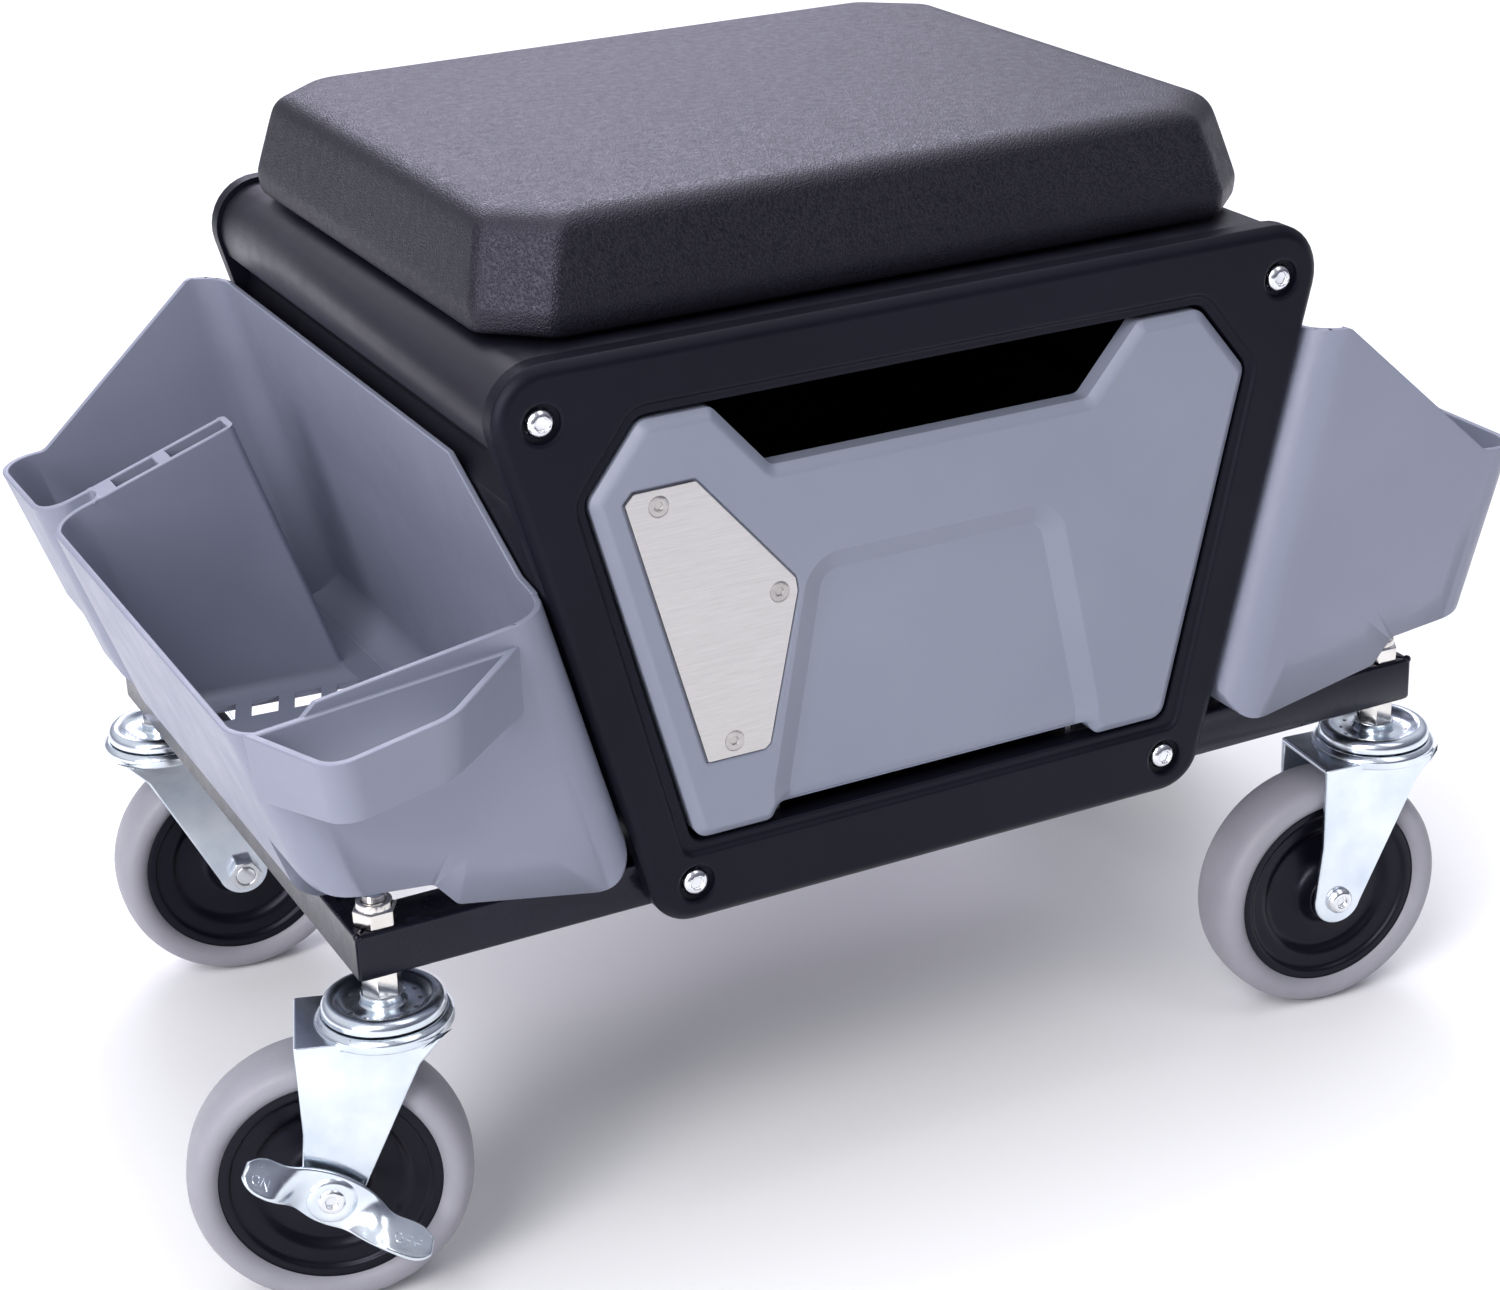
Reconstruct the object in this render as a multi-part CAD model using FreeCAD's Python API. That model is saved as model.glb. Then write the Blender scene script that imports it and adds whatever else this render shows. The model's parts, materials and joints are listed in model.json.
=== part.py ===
import FreeCAD, Part
import math
import os

# Rolling work seat with a drawer and two side bins, in millimetres.
# X runs along the long side, -Y is the drawer side, +Z is up and z = 0 is the floor.
# The origin is on the floor under the middle of the frame.

V = FreeCAD.Vector
Z_AXIS = V(0, 0, 1)
overrun = 6.0

# Base frame of square tube
frame_length = 442.4
frame_width = 276.4
frame_top = 145.0
tube_width = 20.0
tube_height = 17.6
tube_wall = 2.0
frame_bottom = frame_top - tube_height

# Front and rear plates, laid out from their four screws
plate_thickness = 9.7
plate_screw_top_x = 145.0
plate_screw_top_z = 315.3
plate_screw_low_x = 98.2
plate_screw_low_z = 136.3
plate_side_margin = 16.8
plate_top_margin = 19.7
plate_low_margin = 14.8
plate_top_radius = 19.5
plate_low_radius = 17.0
plate_edge_chamfer = 3.0
plate_counterbore_radius = 7.0
plate_counterbore_depth = 2.6
aperture_bevel = 6.0
aperture_bevel_depth = 1.6

# Fasteners
button_head_radius = 5.25
button_head_height = 3.3
button_socket_radius = 2.3
button_socket_depth = 1.8
screw_radius = 3.0
screw_hole_clearance = 0.2
thread_clearance = 0.05
screw_bite = 15.0
small_screw_radius = 2.0
small_head_radius = 3.8
small_head_height = 1.4
small_socket_radius = 1.4
small_screw_bite = 5.5

# Body shell between the plates
cover_drop = 2.0
cover_inset = 1.6
cover_wall = 2.5
cover_depth = 28.0
cover_end_gap = 0.2
tie_bar_radius = 6.0
saddle_thickness = 4.0
saddle_half_width = 9.0
saddle_spacing = 104.0
panel_wall = 3.0
panel_joint_gap = 0.2
panel_flange = 16.0
panel_step_low = 286.0
panel_step_high = 296.0
panel_step_in = 7.0
floor_wall = 2.5
floor_side_gap = 4.0

# Seat
seat_thickness = 37.0
seat_flat_length = 276.0
seat_flat_width = 229.0
seat_top_length = 285.6
seat_top_width = 238.4
seat_shoulder_drop = 3.2
seat_wide_length = 308.0
seat_wide_width = 261.0
seat_wide_rise = 8.5
seat_bottom_length = 301.0
seat_bottom_width = 254.0
seat_lift = 4.0
seat_corner_x = 18.5
seat_corner_y = 19.5
seat_corner_radius = 7.0
board_length = 262.0
board_width = 214.0
board_depth = 6.0
board_gap = 0.3
seat_screw_x = 105.0
seat_screw_y = 80.0

# Drawer
drawer_proud = 1.4
drawer_back_gap = 1.3
drawer_ear_top = 309.8
drawer_ear_outer = 110.2
drawer_ear_inner = 84.2
drawer_notch_half = 62.8
drawer_notch_z = 285.1
drawer_wide_half = 130.2
drawer_wide_z = 284.6
drawer_foot_z = 153.2
drawer_foot_outer = 97.0
drawer_foot_inner = 67.7
drawer_field_z = 158.6
drawer_field_half = 64.0
drawer_corner_radius = 6.0
drawer_notch_radius = 4.2
drawer_foot_radius = 4.0
drawer_chamfer = 3.2
drawer_chamfer_share = 0.8
drawer_gap = 1.5
arch_low_half = 67.5
arch_low_z = 166.0
arch_top_half = 50.5
arch_top_z = 250.3
arch_radius = 15.0
arch_slope = 8.0
arch_depth = 3.6
tray_rear_gap = 19.7
tray_low_half = 94.0
tray_low_z = 157.0
tray_high_half = 117.5
tray_high_z = 258.0
tray_wall = 2.5
drawer_screw_x = 77.0
drawer_screw_low_z = 182.0
drawer_screw_high_z = 238.0
runner_half_spacing = 70.0
runner_width = 20.0
runner_wall = 2.5
runner_height = 8.4
runner_base = 4.9
runner_rear_gap = 26.0
slide_gap = 0.3

# Brushed plate on the drawer and its three screws
trim_outer_x = 118.5
trim_outer_z = 282.5
trim_top_start_x = 115.1
trim_top_start_z = 286.0
trim_top_end_x = 92.4
trim_top_end_z = 286.3
trim_side_top_x = 56.4
trim_side_top_z = 243.8
trim_side_low_x = 55.8
trim_side_low_z = 238.9
trim_foot_side_x = 68.4
trim_foot_side_z = 184.4
trim_foot_start_x = 70.6
trim_foot_start_z = 182.6
trim_foot_end_x = 92.6
trim_foot_end_z = 182.7
trim_screw_top_x = 106.3
trim_screw_top_z = 280.0
trim_screw_side_x = 62.7
trim_screw_side_z = 240.0
trim_screw_foot_x = 82.2
trim_screw_foot_z = 188.6
trim_radius = 1.0
trim_thickness = 1.5
trim_proud = 0.4
trim_gap = 0.6

# Side bins: profile across the object, then the plan
bin_body_gap = 0.4
bin_wall = 2.5
bin_floor_low_z = 144.7
bin_floor_slope = 0.19
bin_floor_low_x = 130.0
bin_deep_z = 147.2
bin_deep_slope = 0.035
bin_stem_room_y = 16.0
bin_stem_room_x = 21.8
bin_step_run = 8.0
bin_step_high_z = 165.5
bin_outer_low_x = 237.5
bin_outer_low_z = 169.5
bin_outer_top_x = 258.5
bin_outer_top_z = 232.0
bin_rim_outer_x = 238.0
bin_rim_outer_z = 234.0
bin_rim_inner_x = 172.0
bin_rim_inner_z = 294.0
bin_low_radius = 14.0
bin_step_radius = 4.0
bin_outer_radius = 14.0
bin_front_past_plate = 5.1
bin_rear_past_plate = 7.1
bin_plan_radius = 16.0
bin_front_rim_inner_z = 253.0
bin_front_rim_outer_z = 236.0
bin_front_rim_depth = 14.0
bin_dip_start_inset = 55.0
bin_dip_end_inset = 25.0
bin_dip_z = 257.0
rack_front = 74.5
rack_gap = 9.0
rack_inset = 22.0
rack_flare_radius = 14.0
rack_tip_radius = 3.0
rack_top_inner_x = 182.5
rack_top_inner_z = 258.0
rack_free_low_x = 146.0
rack_rib = 6.0
rack_slot_inset = 31.5
rack_slot_length = 19.0
rack_slot_floor = 180.0
drain_length = 14.0
drain_width = 11.0
drain_slant = 5.0
drain_pitch = 17.5
drain_first_x = 147.5
drain_rows = 3
drain_columns = 4
drain_row_pitch = 44.0
drain_first_y = 52.0
handle_reach = 41.0
handle_inner_reach = 33.0
handle_wall = 3.0
handle_outer_x = 241.0
handle_inner_x = 196.0
handle_root_outer_x = 255.5
handle_root_inner_x = 159.0
handle_outer_z = 235.5
handle_slope = 0.1
handle_height = 24.0
handle_draft = 5.0
handle_radius = 11.0
hook_width = 24.0
hook_spacing = 150.0
hook_z = 262.0
hook_height = 6.0
hook_lip = 8.0
hook_gap = 0.4

# Casters
stem_inset_x = 10.4
stem_inset_y = 8.2
stem_radius = 4.0
stem_top = 156.5
stem_dome = 2.5
top_nut_flats = 14.0
top_nut_height = 5.8
top_nut_collar_radius = 6.3
top_nut_collar_height = 2.8
lower_nut_flats = 12.6
race_top = 116.0
race_radius = 21.8
race_thickness = 1.8
race_skirt = 4.0
race_edge = 1.6
race_collar_radius = 7.8
race_collar_height = 2.0
rivet_radius = 5.5
rivet_head_radius = 9.0
rivet_head_height = 2.6
fork_top = 108.6
fork_sheet = 2.5
fork_ring_radius = 24.0
fork_ring_height = 2.6
fork_ring_land = 17.5
ball_circle = 13.0
ball_count = 12
ball_gap = 0.06
swivel_gap = 0.35
trail = 23.8
wheel_radius = 50.0
fork_inner_half = 15.2
fork_rear = 31.5
fork_front_low = -10.5
fork_front_low_z = 97.5
fork_front_top = -19.5
fork_foot_radius = 10.5
axle_radius = 4.0
axle_head_radius = 5.4
axle_head_height = 3.0
axle_recess_radius = 2.2
axle_recess_depth = 1.6
axle_nut_flats = 12.0
axle_nut_height = 5.0
running_gap = 0.05
bush_wall = 2.0
bush_side_gap = 0.4
hub_boss_radius = 11.0
hub_rim_radius = 38.9
hub_rim_wall = 4.4
hub_rim_half = 10.4
hub_web_half = 3.0
hub_step_radius = 30.0
hub_step_half = 6.0
hub_side_gap = 0.8
tyre_half = 13.4
tyre_shoulder_radius = 43.0
tyre_crown_half = 3.0
caster_yaw_front_left = 2.81
caster_yaw_front_right = 3.04
pedal_sheet = 2.4
pedal_gap = 0.3
pedal_hub_radius = 9.5
pedal_on_reach = 27.0
pedal_off_reach = 31.0
pedal_wing_width = 13.0
pedal_wing_depth = 8.0
pedal_neck_half = 6.0
pedal_on_angle = 37.0
pedal_off_angle = 26.0


def box(x0, x1, y0, y1, z0, z1):
    """A block between two opposite corners."""
    return Part.makeBox(x1 - x0, y1 - y0, z1 - z0, V(x0, y0, z0))


def rod(radius, start, direction, length):
    """A round bar from a point along a direction."""
    return Part.makeCylinder(radius, length, start, direction)


def rounded_wire(corners, place):
    """A closed outline of (a, b, radius) corners, each rounded by its own arc."""
    edges = []
    joins = []
    count = len(corners)
    for i, (a, b, r) in enumerate(corners):
        before = corners[i - 1]
        after = corners[(i + 1) % count]
        here = V(a, b, 0)
        u = V(before[0], before[1], 0) - here
        w = V(after[0], after[1], 0) - here
        u.normalize()
        w.normalize()
        if not r:
            joins.append((here, None, here))
            continue
        half = math.acos(max(-1, min(1, u.dot(w)))) / 2
        cut = r / math.tan(half)
        bisector = u + w
        bisector.normalize()
        middle = here + bisector * (r / math.sin(half) - r)
        joins.append((here + u * cut, middle, here + w * cut))
    for i, (start, middle, end) in enumerate(joins):
        if middle is not None:
            edges.append(Part.Arc(place(start), place(middle), place(end)).toShape())
        following = joins[(i + 1) % count][0]
        if end.distanceToPoint(following) > thread_clearance / 10:
            edges.append(Part.makeLine(place(end), place(following)))
    return Part.Wire(edges)


def upright(y):
    """Places an outline in the upright X-Z plane at the given y."""
    return lambda p: V(p.x, y, p.y)


def level(z):
    """Places an outline in the level X-Y plane at the given z."""
    return lambda p: V(p.x, p.y, z)


def prism_y(corners, y0, y1):
    """An upright outline carried along Y."""
    return Part.Face(rounded_wire(corners, upright(y0))).extrude(V(0, y1 - y0, 0))


def prism_z(corners, z0, z1):
    """A level outline carried along Z."""
    return Part.Face(rounded_wire(corners, level(z0))).extrude(V(0, 0, z1 - z0))


def prism_x(corners, x0, x1):
    """An outline of (y, z, radius) corners carried along X."""
    return Part.Face(rounded_wire(corners, lambda p: V(x0, p.x, p.y))).extrude(V(x1 - x0, 0, 0))


def loft(wires):
    """A solid with straight sides through a row of like outlines."""
    return Part.makeLoft(wires, True, True)


def fuse(shapes):
    """Joins solids into one piece without leftover seams."""
    return shapes[0].multiFuse(shapes[1:]).removeSplitter()


def shrunk(corners, inset):
    """The same closed outline with every side moved inwards, its corner arcs kept concentric."""
    count = len(corners)
    area = 0
    for i in range(count):
        a, b = corners[i - 1], corners[i]
        area += a[0] * b[1] - b[0] * a[1]
    way = 1 if area > 0 else -1
    result = []
    for i, (x, z, r) in enumerate(corners):
        before = corners[i - 1]
        after = corners[(i + 1) % count]
        u = V(x - before[0], z - before[1], 0)
        w = V(after[0] - x, after[1] - z, 0)
        u.normalize()
        w.normalize()
        turn = way * (u.x * w.y - u.y * w.x)
        reach = inset / (1 + u.dot(w))
        shift = V(-u.y - w.y, u.x + w.x, 0) * (way * reach)
        bend = r - inset if turn > 0 else r + inset
        result.append((x + shift.x, z + shift.y, max(bend, inset / 4) if r else 0))
    return result


def mirrored(points):
    """A right half outline (x, z, radius) followed by its mirror image."""
    return points + [(-x, z, r) for x, z, r in reversed(points) if x]


def half_turn(shape):
    """The same shape turned half a turn about the upright axis."""
    turned = shape.copy()
    turned.rotate(V(0, 0, 0), Z_AXIS, 180)
    return turned


def hexagon(flats, height, base):
    """A hexagonal prism standing on a point."""
    corner = flats / math.sqrt(3)
    ring = [(corner * math.cos(math.pi * k / 3), corner * math.sin(math.pi * k / 3), 0) for k in range(6)]
    shape = prism_z(ring, 0, height)
    shape.translate(base)
    return shape


def revolved(points, base, direction):
    """A solid of revolution from (radius, height) points, on an axis through base."""
    face = Part.Face(Part.makePolygon([V(r, 0, h) for r, h in points + points[:1]]))
    shape = face.revolve(V(0, 0, 0), Z_AXIS, 360)
    shape.Placement = FreeCAD.Placement(base, FreeCAD.Rotation(Z_AXIS, direction))
    return shape


# Places that follow from the values above
plate_slope = (plate_screw_top_x - plate_screw_low_x) / (plate_screw_top_z - plate_screw_low_z)
plate_side_offset = plate_side_margin * math.hypot(1, plate_slope)
plate_back = frame_width / 2
plate_front = plate_back + plate_thickness
plate_top_z = plate_screw_top_z + plate_top_margin
plate_low_z = plate_screw_low_z - plate_low_margin
cover_top = plate_top_z - cover_drop
cover_lower_edge = cover_top - cover_depth
seat_bottom = cover_top + seat_lift
seat_wide_height = seat_bottom + seat_wide_rise
seat_top = seat_bottom + seat_thickness
drawer_face = plate_front + drawer_proud
drawer_back = plate_back + drawer_back_gap
tray_length = drawer_back + plate_back - tray_rear_gap
runner_length = 2 * (plate_back - cover_end_gap) - runner_rear_gap
panel_slope_shift = hook_lip * plate_slope
stem_x = frame_length / 2 - stem_inset_x
stem_y = frame_width / 2 - stem_inset_y
bin_deep_half = stem_y - bin_stem_room_y
bin_step_low_x = stem_x - bin_stem_room_x
bin_step_high_x = bin_step_low_x + bin_step_run
bin_front = plate_front + bin_front_past_plate
bin_rear = plate_front + bin_rear_past_plate
bin_dip_start = bin_front - bin_dip_start_inset
bin_dip_end = bin_front - bin_dip_end_inset
trim_points = [(-trim_outer_x, trim_outer_z), (-trim_top_start_x, trim_top_start_z),
               (-trim_top_end_x, trim_top_end_z), (-trim_side_top_x, trim_side_top_z),
               (-trim_side_low_x, trim_side_low_z), (-trim_foot_side_x, trim_foot_side_z),
               (-trim_foot_start_x, trim_foot_start_z), (-trim_foot_end_x, trim_foot_end_z)]
trim_screw_points = [(-trim_screw_top_x, trim_screw_top_z), (-trim_screw_side_x, trim_screw_side_z),
                     (-trim_screw_foot_x, trim_screw_foot_z)]


def body_half(z):
    """Half width of the body's leaning sides at a height."""
    return plate_screw_low_x + (z - plate_screw_low_z) * plate_slope + plate_side_offset


def button_screw(x, z, face_y, end_y):
    """A button head screw with a hexagon socket, driven along +Y from face_y."""
    head = Part.makeSphere(button_head_radius, V(0, 0, 0))
    head = head.common(rod(button_head_radius, V(0, 0, 0), Z_AXIS, button_head_radius))
    squash = FreeCAD.Matrix()
    squash.scale(1, 1, button_head_height / button_head_radius)
    head = head.transformGeometry(squash)
    shank = rod(screw_radius, V(0, 0, -(end_y - face_y)), Z_AXIS, end_y - face_y)
    socket = hexagon(button_socket_radius * 2, button_head_height,
                     V(0, 0, button_head_height - button_socket_depth))
    screw = head.fuse(shank).cut(socket)
    screw.Placement = FreeCAD.Placement(V(x, face_y, z), FreeCAD.Rotation(Z_AXIS, V(0, -1, 0)))
    return screw


def plate_screws():
    """The four screws of the front plate: two into the tie bars and two into the front rail."""
    seat = -plate_front + plate_counterbore_depth
    screws = []
    for side in (-1, 1):
        screws.append(button_screw(side * plate_screw_top_x, plate_screw_top_z, seat,
                                   -plate_back + screw_bite))
        screws.append(button_screw(side * plate_screw_low_x, plate_screw_low_z, seat,
                                   -plate_back + tube_wall + screw_radius))
    return screws


def frame_rail(long_rail):
    """A tube of the frame on the -Y or -X side, mitred at both ends."""
    half = (frame_length if long_rail else frame_width) / 2
    across = (frame_width if long_rail else frame_length) / 2

    def trapezoid(inset, z0, z1):
        outer = half - inset
        inner = half - tube_width + inset
        near = -across + inset
        far = -across + tube_width - inset
        if long_rail:
            ring = [(-outer, near, 0), (outer, near, 0), (inner, far, 0), (-inner, far, 0)]
        else:
            ring = [(near, -outer, 0), (far, -inner, 0), (far, inner, 0), (near, outer, 0)]
        return prism_z(ring, z0, z1)

    tube = trapezoid(0, frame_bottom, frame_top)
    tube = tube.cut(trapezoid(tube_wall, frame_bottom + tube_wall, frame_top - tube_wall))
    for sx in (-1, 1):
        for sy in (-1, 1):
            start = V(sx * stem_x, sy * stem_y, frame_bottom - overrun)
            hole = rod(stem_radius + screw_hole_clearance, start, Z_AXIS, tube_height + 2 * overrun)
            tube = tube.cut(hole)
        if long_rail:
            tube = tube.cut(rod(screw_radius + thread_clearance,
                                V(sx * plate_screw_low_x, -across - overrun, plate_screw_low_z),
                                V(0, 1, 0), overrun + tube_wall))
    return tube


def plate_corners():
    """Right half outline of a plate, from the top middle down."""
    return [(body_half(plate_top_z), plate_top_z, plate_top_radius),
            (body_half(plate_low_z), plate_low_z, plate_low_radius)]


def plate_blank():
    """The outer shape of a plate on the -Y side, with its front edge chamfered."""
    blank = prism_y(mirrored(plate_corners()), -plate_front, -plate_back)
    rim = [e for e in blank.Edges if all(abs(v.Point.y + plate_front) < thread_clearance for v in e.Vertexes)]
    return blank.makeChamfer(plate_edge_chamfer, rim)


def plate_holes(plate):
    """Bores and counterbores for the four screws of a plate on the -Y side."""
    for x, z in ((plate_screw_top_x, plate_screw_top_z), (plate_screw_low_x, plate_screw_low_z)):
        for side in (-1, 1):
            start = V(side * x, -plate_front - overrun, z)
            plate = plate.cut(rod(screw_radius + screw_hole_clearance, start, V(0, 1, 0),
                                  plate_thickness + 2 * overrun))
            plate = plate.cut(rod(plate_counterbore_radius, start, V(0, 1, 0),
                                  overrun + plate_counterbore_depth))
    return plate


def aperture(grow, y0, y1):
    """The drawer's opening through the front plate, grown by an even amount."""
    half = [(drawer_ear_outer + grow * 0.5, drawer_ear_top + grow, drawer_corner_radius + grow),
            (drawer_wide_half + grow, drawer_wide_z + grow * 0.2, drawer_corner_radius + grow),
            (drawer_foot_outer + grow, drawer_foot_z - grow, drawer_corner_radius)]
    return prism_y(mirrored(half), y0, y1)


def front_plate():
    """The moulded front plate with the drawer's opening and a stepped surround."""
    plate = plate_holes(plate_blank())
    plate = plate.cut(aperture(drawer_gap, -plate_front - overrun, -plate_back + overrun))
    plate = plate.cut(aperture(aperture_bevel, -plate_front - overrun, -plate_front + aperture_bevel_depth))
    return plate


def rear_plate():
    """The closed rear plate, with a shallow panel recess on its outer face."""
    plate = plate_holes(plate_blank())
    plate = plate.cut(aperture(0, -plate_front - overrun, -plate_front + aperture_bevel_depth))
    return half_turn(plate)


def tie_bars():
    """Two round bars under the cover's rolled ends, tapped for the top screws."""
    bars = []
    for side in (-1, 1):
        centre = V(side * plate_screw_top_x, -plate_back, plate_screw_top_z)
        bar = rod(tie_bar_radius, centre, V(0, 1, 0), frame_width)
        for end, way in ((-plate_back, 1), (plate_back, -1)):
            start = V(centre.x, end - way * overrun, centre.z)
            bar = bar.cut(rod(screw_radius + thread_clearance, start, V(0, way, 0), overrun + screw_bite))
        bars.append(bar)
    return bars


def cover_arch(shrink, y0, y1, low):
    """The cover's outer shape drawn in by an even amount, down to a lower edge."""
    inset = cover_inset + shrink
    half = [(body_half(plate_top_z) - inset, cover_top - shrink, plate_top_radius - inset),
            (body_half(low) - inset, low, 0)]
    return prism_y(mirrored(half), y0, y1)


def top_cover():
    """The cover that rolls over both long ends."""
    end = plate_back - cover_end_gap
    cover = cover_arch(0, -end, end, cover_lower_edge)
    cover = cover.cut(cover_arch(cover_wall, -end - overrun, end + overrun, cover_lower_edge - overrun))
    for sx in (-1, 1):
        for sy in (-1, 1):
            cover = cover.cut(rod(screw_radius + screw_hole_clearance,
                                  V(sx * seat_screw_x, sy * seat_screw_y, cover_top - overrun),
                                  Z_AXIS, 2 * overrun))
    return cover


def cover_saddles():
    """Six saddles that sit on the tie bars and carry the cover."""
    end = plate_back - cover_end_gap
    inner = cover_arch(cover_wall + thread_clearance, -end, end, cover_lower_edge)
    saddles = []
    for side in (-1, 1):
        for step in (-1, 0, 1):
            y = step * saddle_spacing
            x = side * plate_screw_top_x
            saddle = box(x - saddle_half_width, x + saddle_half_width, y - saddle_thickness / 2,
                         y + saddle_thickness / 2, plate_screw_top_z, cover_top)
            saddle = saddle.common(inner)
            saddles.append(saddle.cut(rod(tie_bar_radius + thread_clearance, V(x, -end, plate_screw_top_z),
                                          V(0, 1, 0), 2 * end)))
    return saddles


def hook_slot_box(y, grow):
    """Space of one bin hook where it passes through the side panel."""
    x = body_half(hook_z)
    return box(-x - overrun, -x + panel_wall + overrun, y - hook_width / 2 - grow, y + hook_width / 2 + grow,
               hook_z - hook_lip - grow, hook_z + hook_height + grow)


def side_panel():
    """The leaning left side of the body, folded at its foot and under the tie bar."""
    low = frame_top + floor_wall
    top = plate_screw_top_z - tie_bar_radius
    end = plate_back - cover_end_gap
    web = panel_joint_gap

    def skin(depth):
        return [(-body_half(low) + web + depth, low, 0),
                (-body_half(panel_step_low) + web + depth, panel_step_low, 0),
                (-body_half(panel_step_high) + web + depth + panel_step_in, panel_step_high, 0),
                (-body_half(top) + web + depth + panel_step_in, top, 0)]

    ring = skin(0) + list(reversed(skin(panel_wall)))
    parts = [prism_y(ring, -end, end)]
    foot = -body_half(low) + web
    parts.append(box(foot + panel_wall / 2, foot + panel_flange, -end, end, low, low + panel_wall))
    head = -body_half(top) + web + panel_step_in
    parts.append(box(head, -plate_screw_top_x + saddle_half_width, -end, end, top - panel_wall, top))
    panel = fuse(parts)
    for way in (-1, 1):
        panel = panel.cut(hook_slot_box(way * hook_spacing / 2, hook_gap))
    return panel


def floor_pan():
    """The flat floor of the body, lying on the two long rails."""
    half = body_half(frame_top) - floor_side_gap
    end = plate_back - cover_end_gap
    return box(-half, half, -end, end, frame_top, frame_top + floor_wall)


def seat_ring(length, width, z, radius):
    """A level eight-sided outline with rounded corners."""
    hx = length / 2
    hy = width / 2
    corner = [(hx, -hy + seat_corner_y, radius), (hx, hy - seat_corner_y, radius),
              (hx - seat_corner_x, hy, radius), (-hx + seat_corner_x, hy, radius),
              (-hx, hy - seat_corner_y, radius), (-hx, -hy + seat_corner_y, radius),
              (-hx + seat_corner_x, -hy, radius), (hx - seat_corner_x, -hy, radius)]
    return rounded_wire(corner, level(z))


def board_blank(grow, z0, z1):
    """The seat's base board, or the pocket that it fills."""
    hx = board_length / 2 + grow
    hy = board_width / 2 + grow
    ring = [(-hx, -hy, seat_corner_x), (hx, -hy, seat_corner_x),
            (hx, hy, seat_corner_x), (-hx, hy, seat_corner_x)]
    return prism_z(ring, z0, z1)


def seat_pad():
    """The moulded pad: drawn in at its foot, widest low down, with a rounded shoulder at the top."""
    rise = seat_top - seat_shoulder_drop
    middle = (seat_flat_length + seat_top_length) / 2
    middle_width = (seat_flat_width + seat_top_width) / 2
    wires = [seat_ring(seat_bottom_length, seat_bottom_width, seat_bottom, seat_corner_radius),
             seat_ring(seat_wide_length, seat_wide_width, seat_wide_height - seat_shoulder_drop / 2,
                       seat_corner_radius),
             seat_ring(seat_wide_length, seat_wide_width, seat_wide_height + seat_shoulder_drop / 2,
                       seat_corner_radius),
             seat_ring(seat_top_length, seat_top_width, rise, seat_corner_radius),
             seat_ring(middle + seat_shoulder_drop / 2, middle_width + seat_shoulder_drop / 2,
                       seat_top - seat_shoulder_drop / 4, seat_corner_radius),
             seat_ring(seat_flat_length, seat_flat_width, seat_top, seat_corner_radius)]
    pad = loft(wires)
    return pad.cut(board_blank(board_gap, seat_bottom - overrun, seat_bottom + board_depth))


def seat_board():
    """The board inside the pad's foot, resting on the cover."""
    board = board_blank(0, cover_top, seat_bottom + board_depth)
    for sx in (-1, 1):
        for sy in (-1, 1):
            board = board.cut(rod(screw_radius + thread_clearance,
                                  V(sx * seat_screw_x, sy * seat_screw_y, cover_top - overrun),
                                  Z_AXIS, seat_bottom - cover_top + board_depth / 2 + overrun))
    return board


def seat_screws():
    """Four screws from under the cover into the seat's board."""
    screws = []
    under = cover_top - cover_wall
    for sx in (-1, 1):
        for sy in (-1, 1):
            base = V(sx * seat_screw_x, sy * seat_screw_y, under - button_head_height)
            head = rod(button_head_radius, base, Z_AXIS, button_head_height)
            shank = rod(screw_radius, base, Z_AXIS, button_head_height + cover_wall + board_depth)
            screws.append(head.fuse(shank).removeSplitter())
    return screws


def drawer_screw_points():
    """Where the tray is screwed to the drawer front."""
    return [(side * drawer_screw_x, z) for side in (-1, 1) for z in (drawer_screw_low_z, drawer_screw_high_z)]


def with_drawer_holes(piece):
    """Cuts the screw holes between the tray and the drawer front into either of them."""
    for x, z in drawer_screw_points():
        piece = piece.cut(rod(small_screw_radius + thread_clearance,
                              V(x, -drawer_back - small_screw_bite, z), V(0, 1, 0), 2 * small_screw_bite))
    return piece


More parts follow.
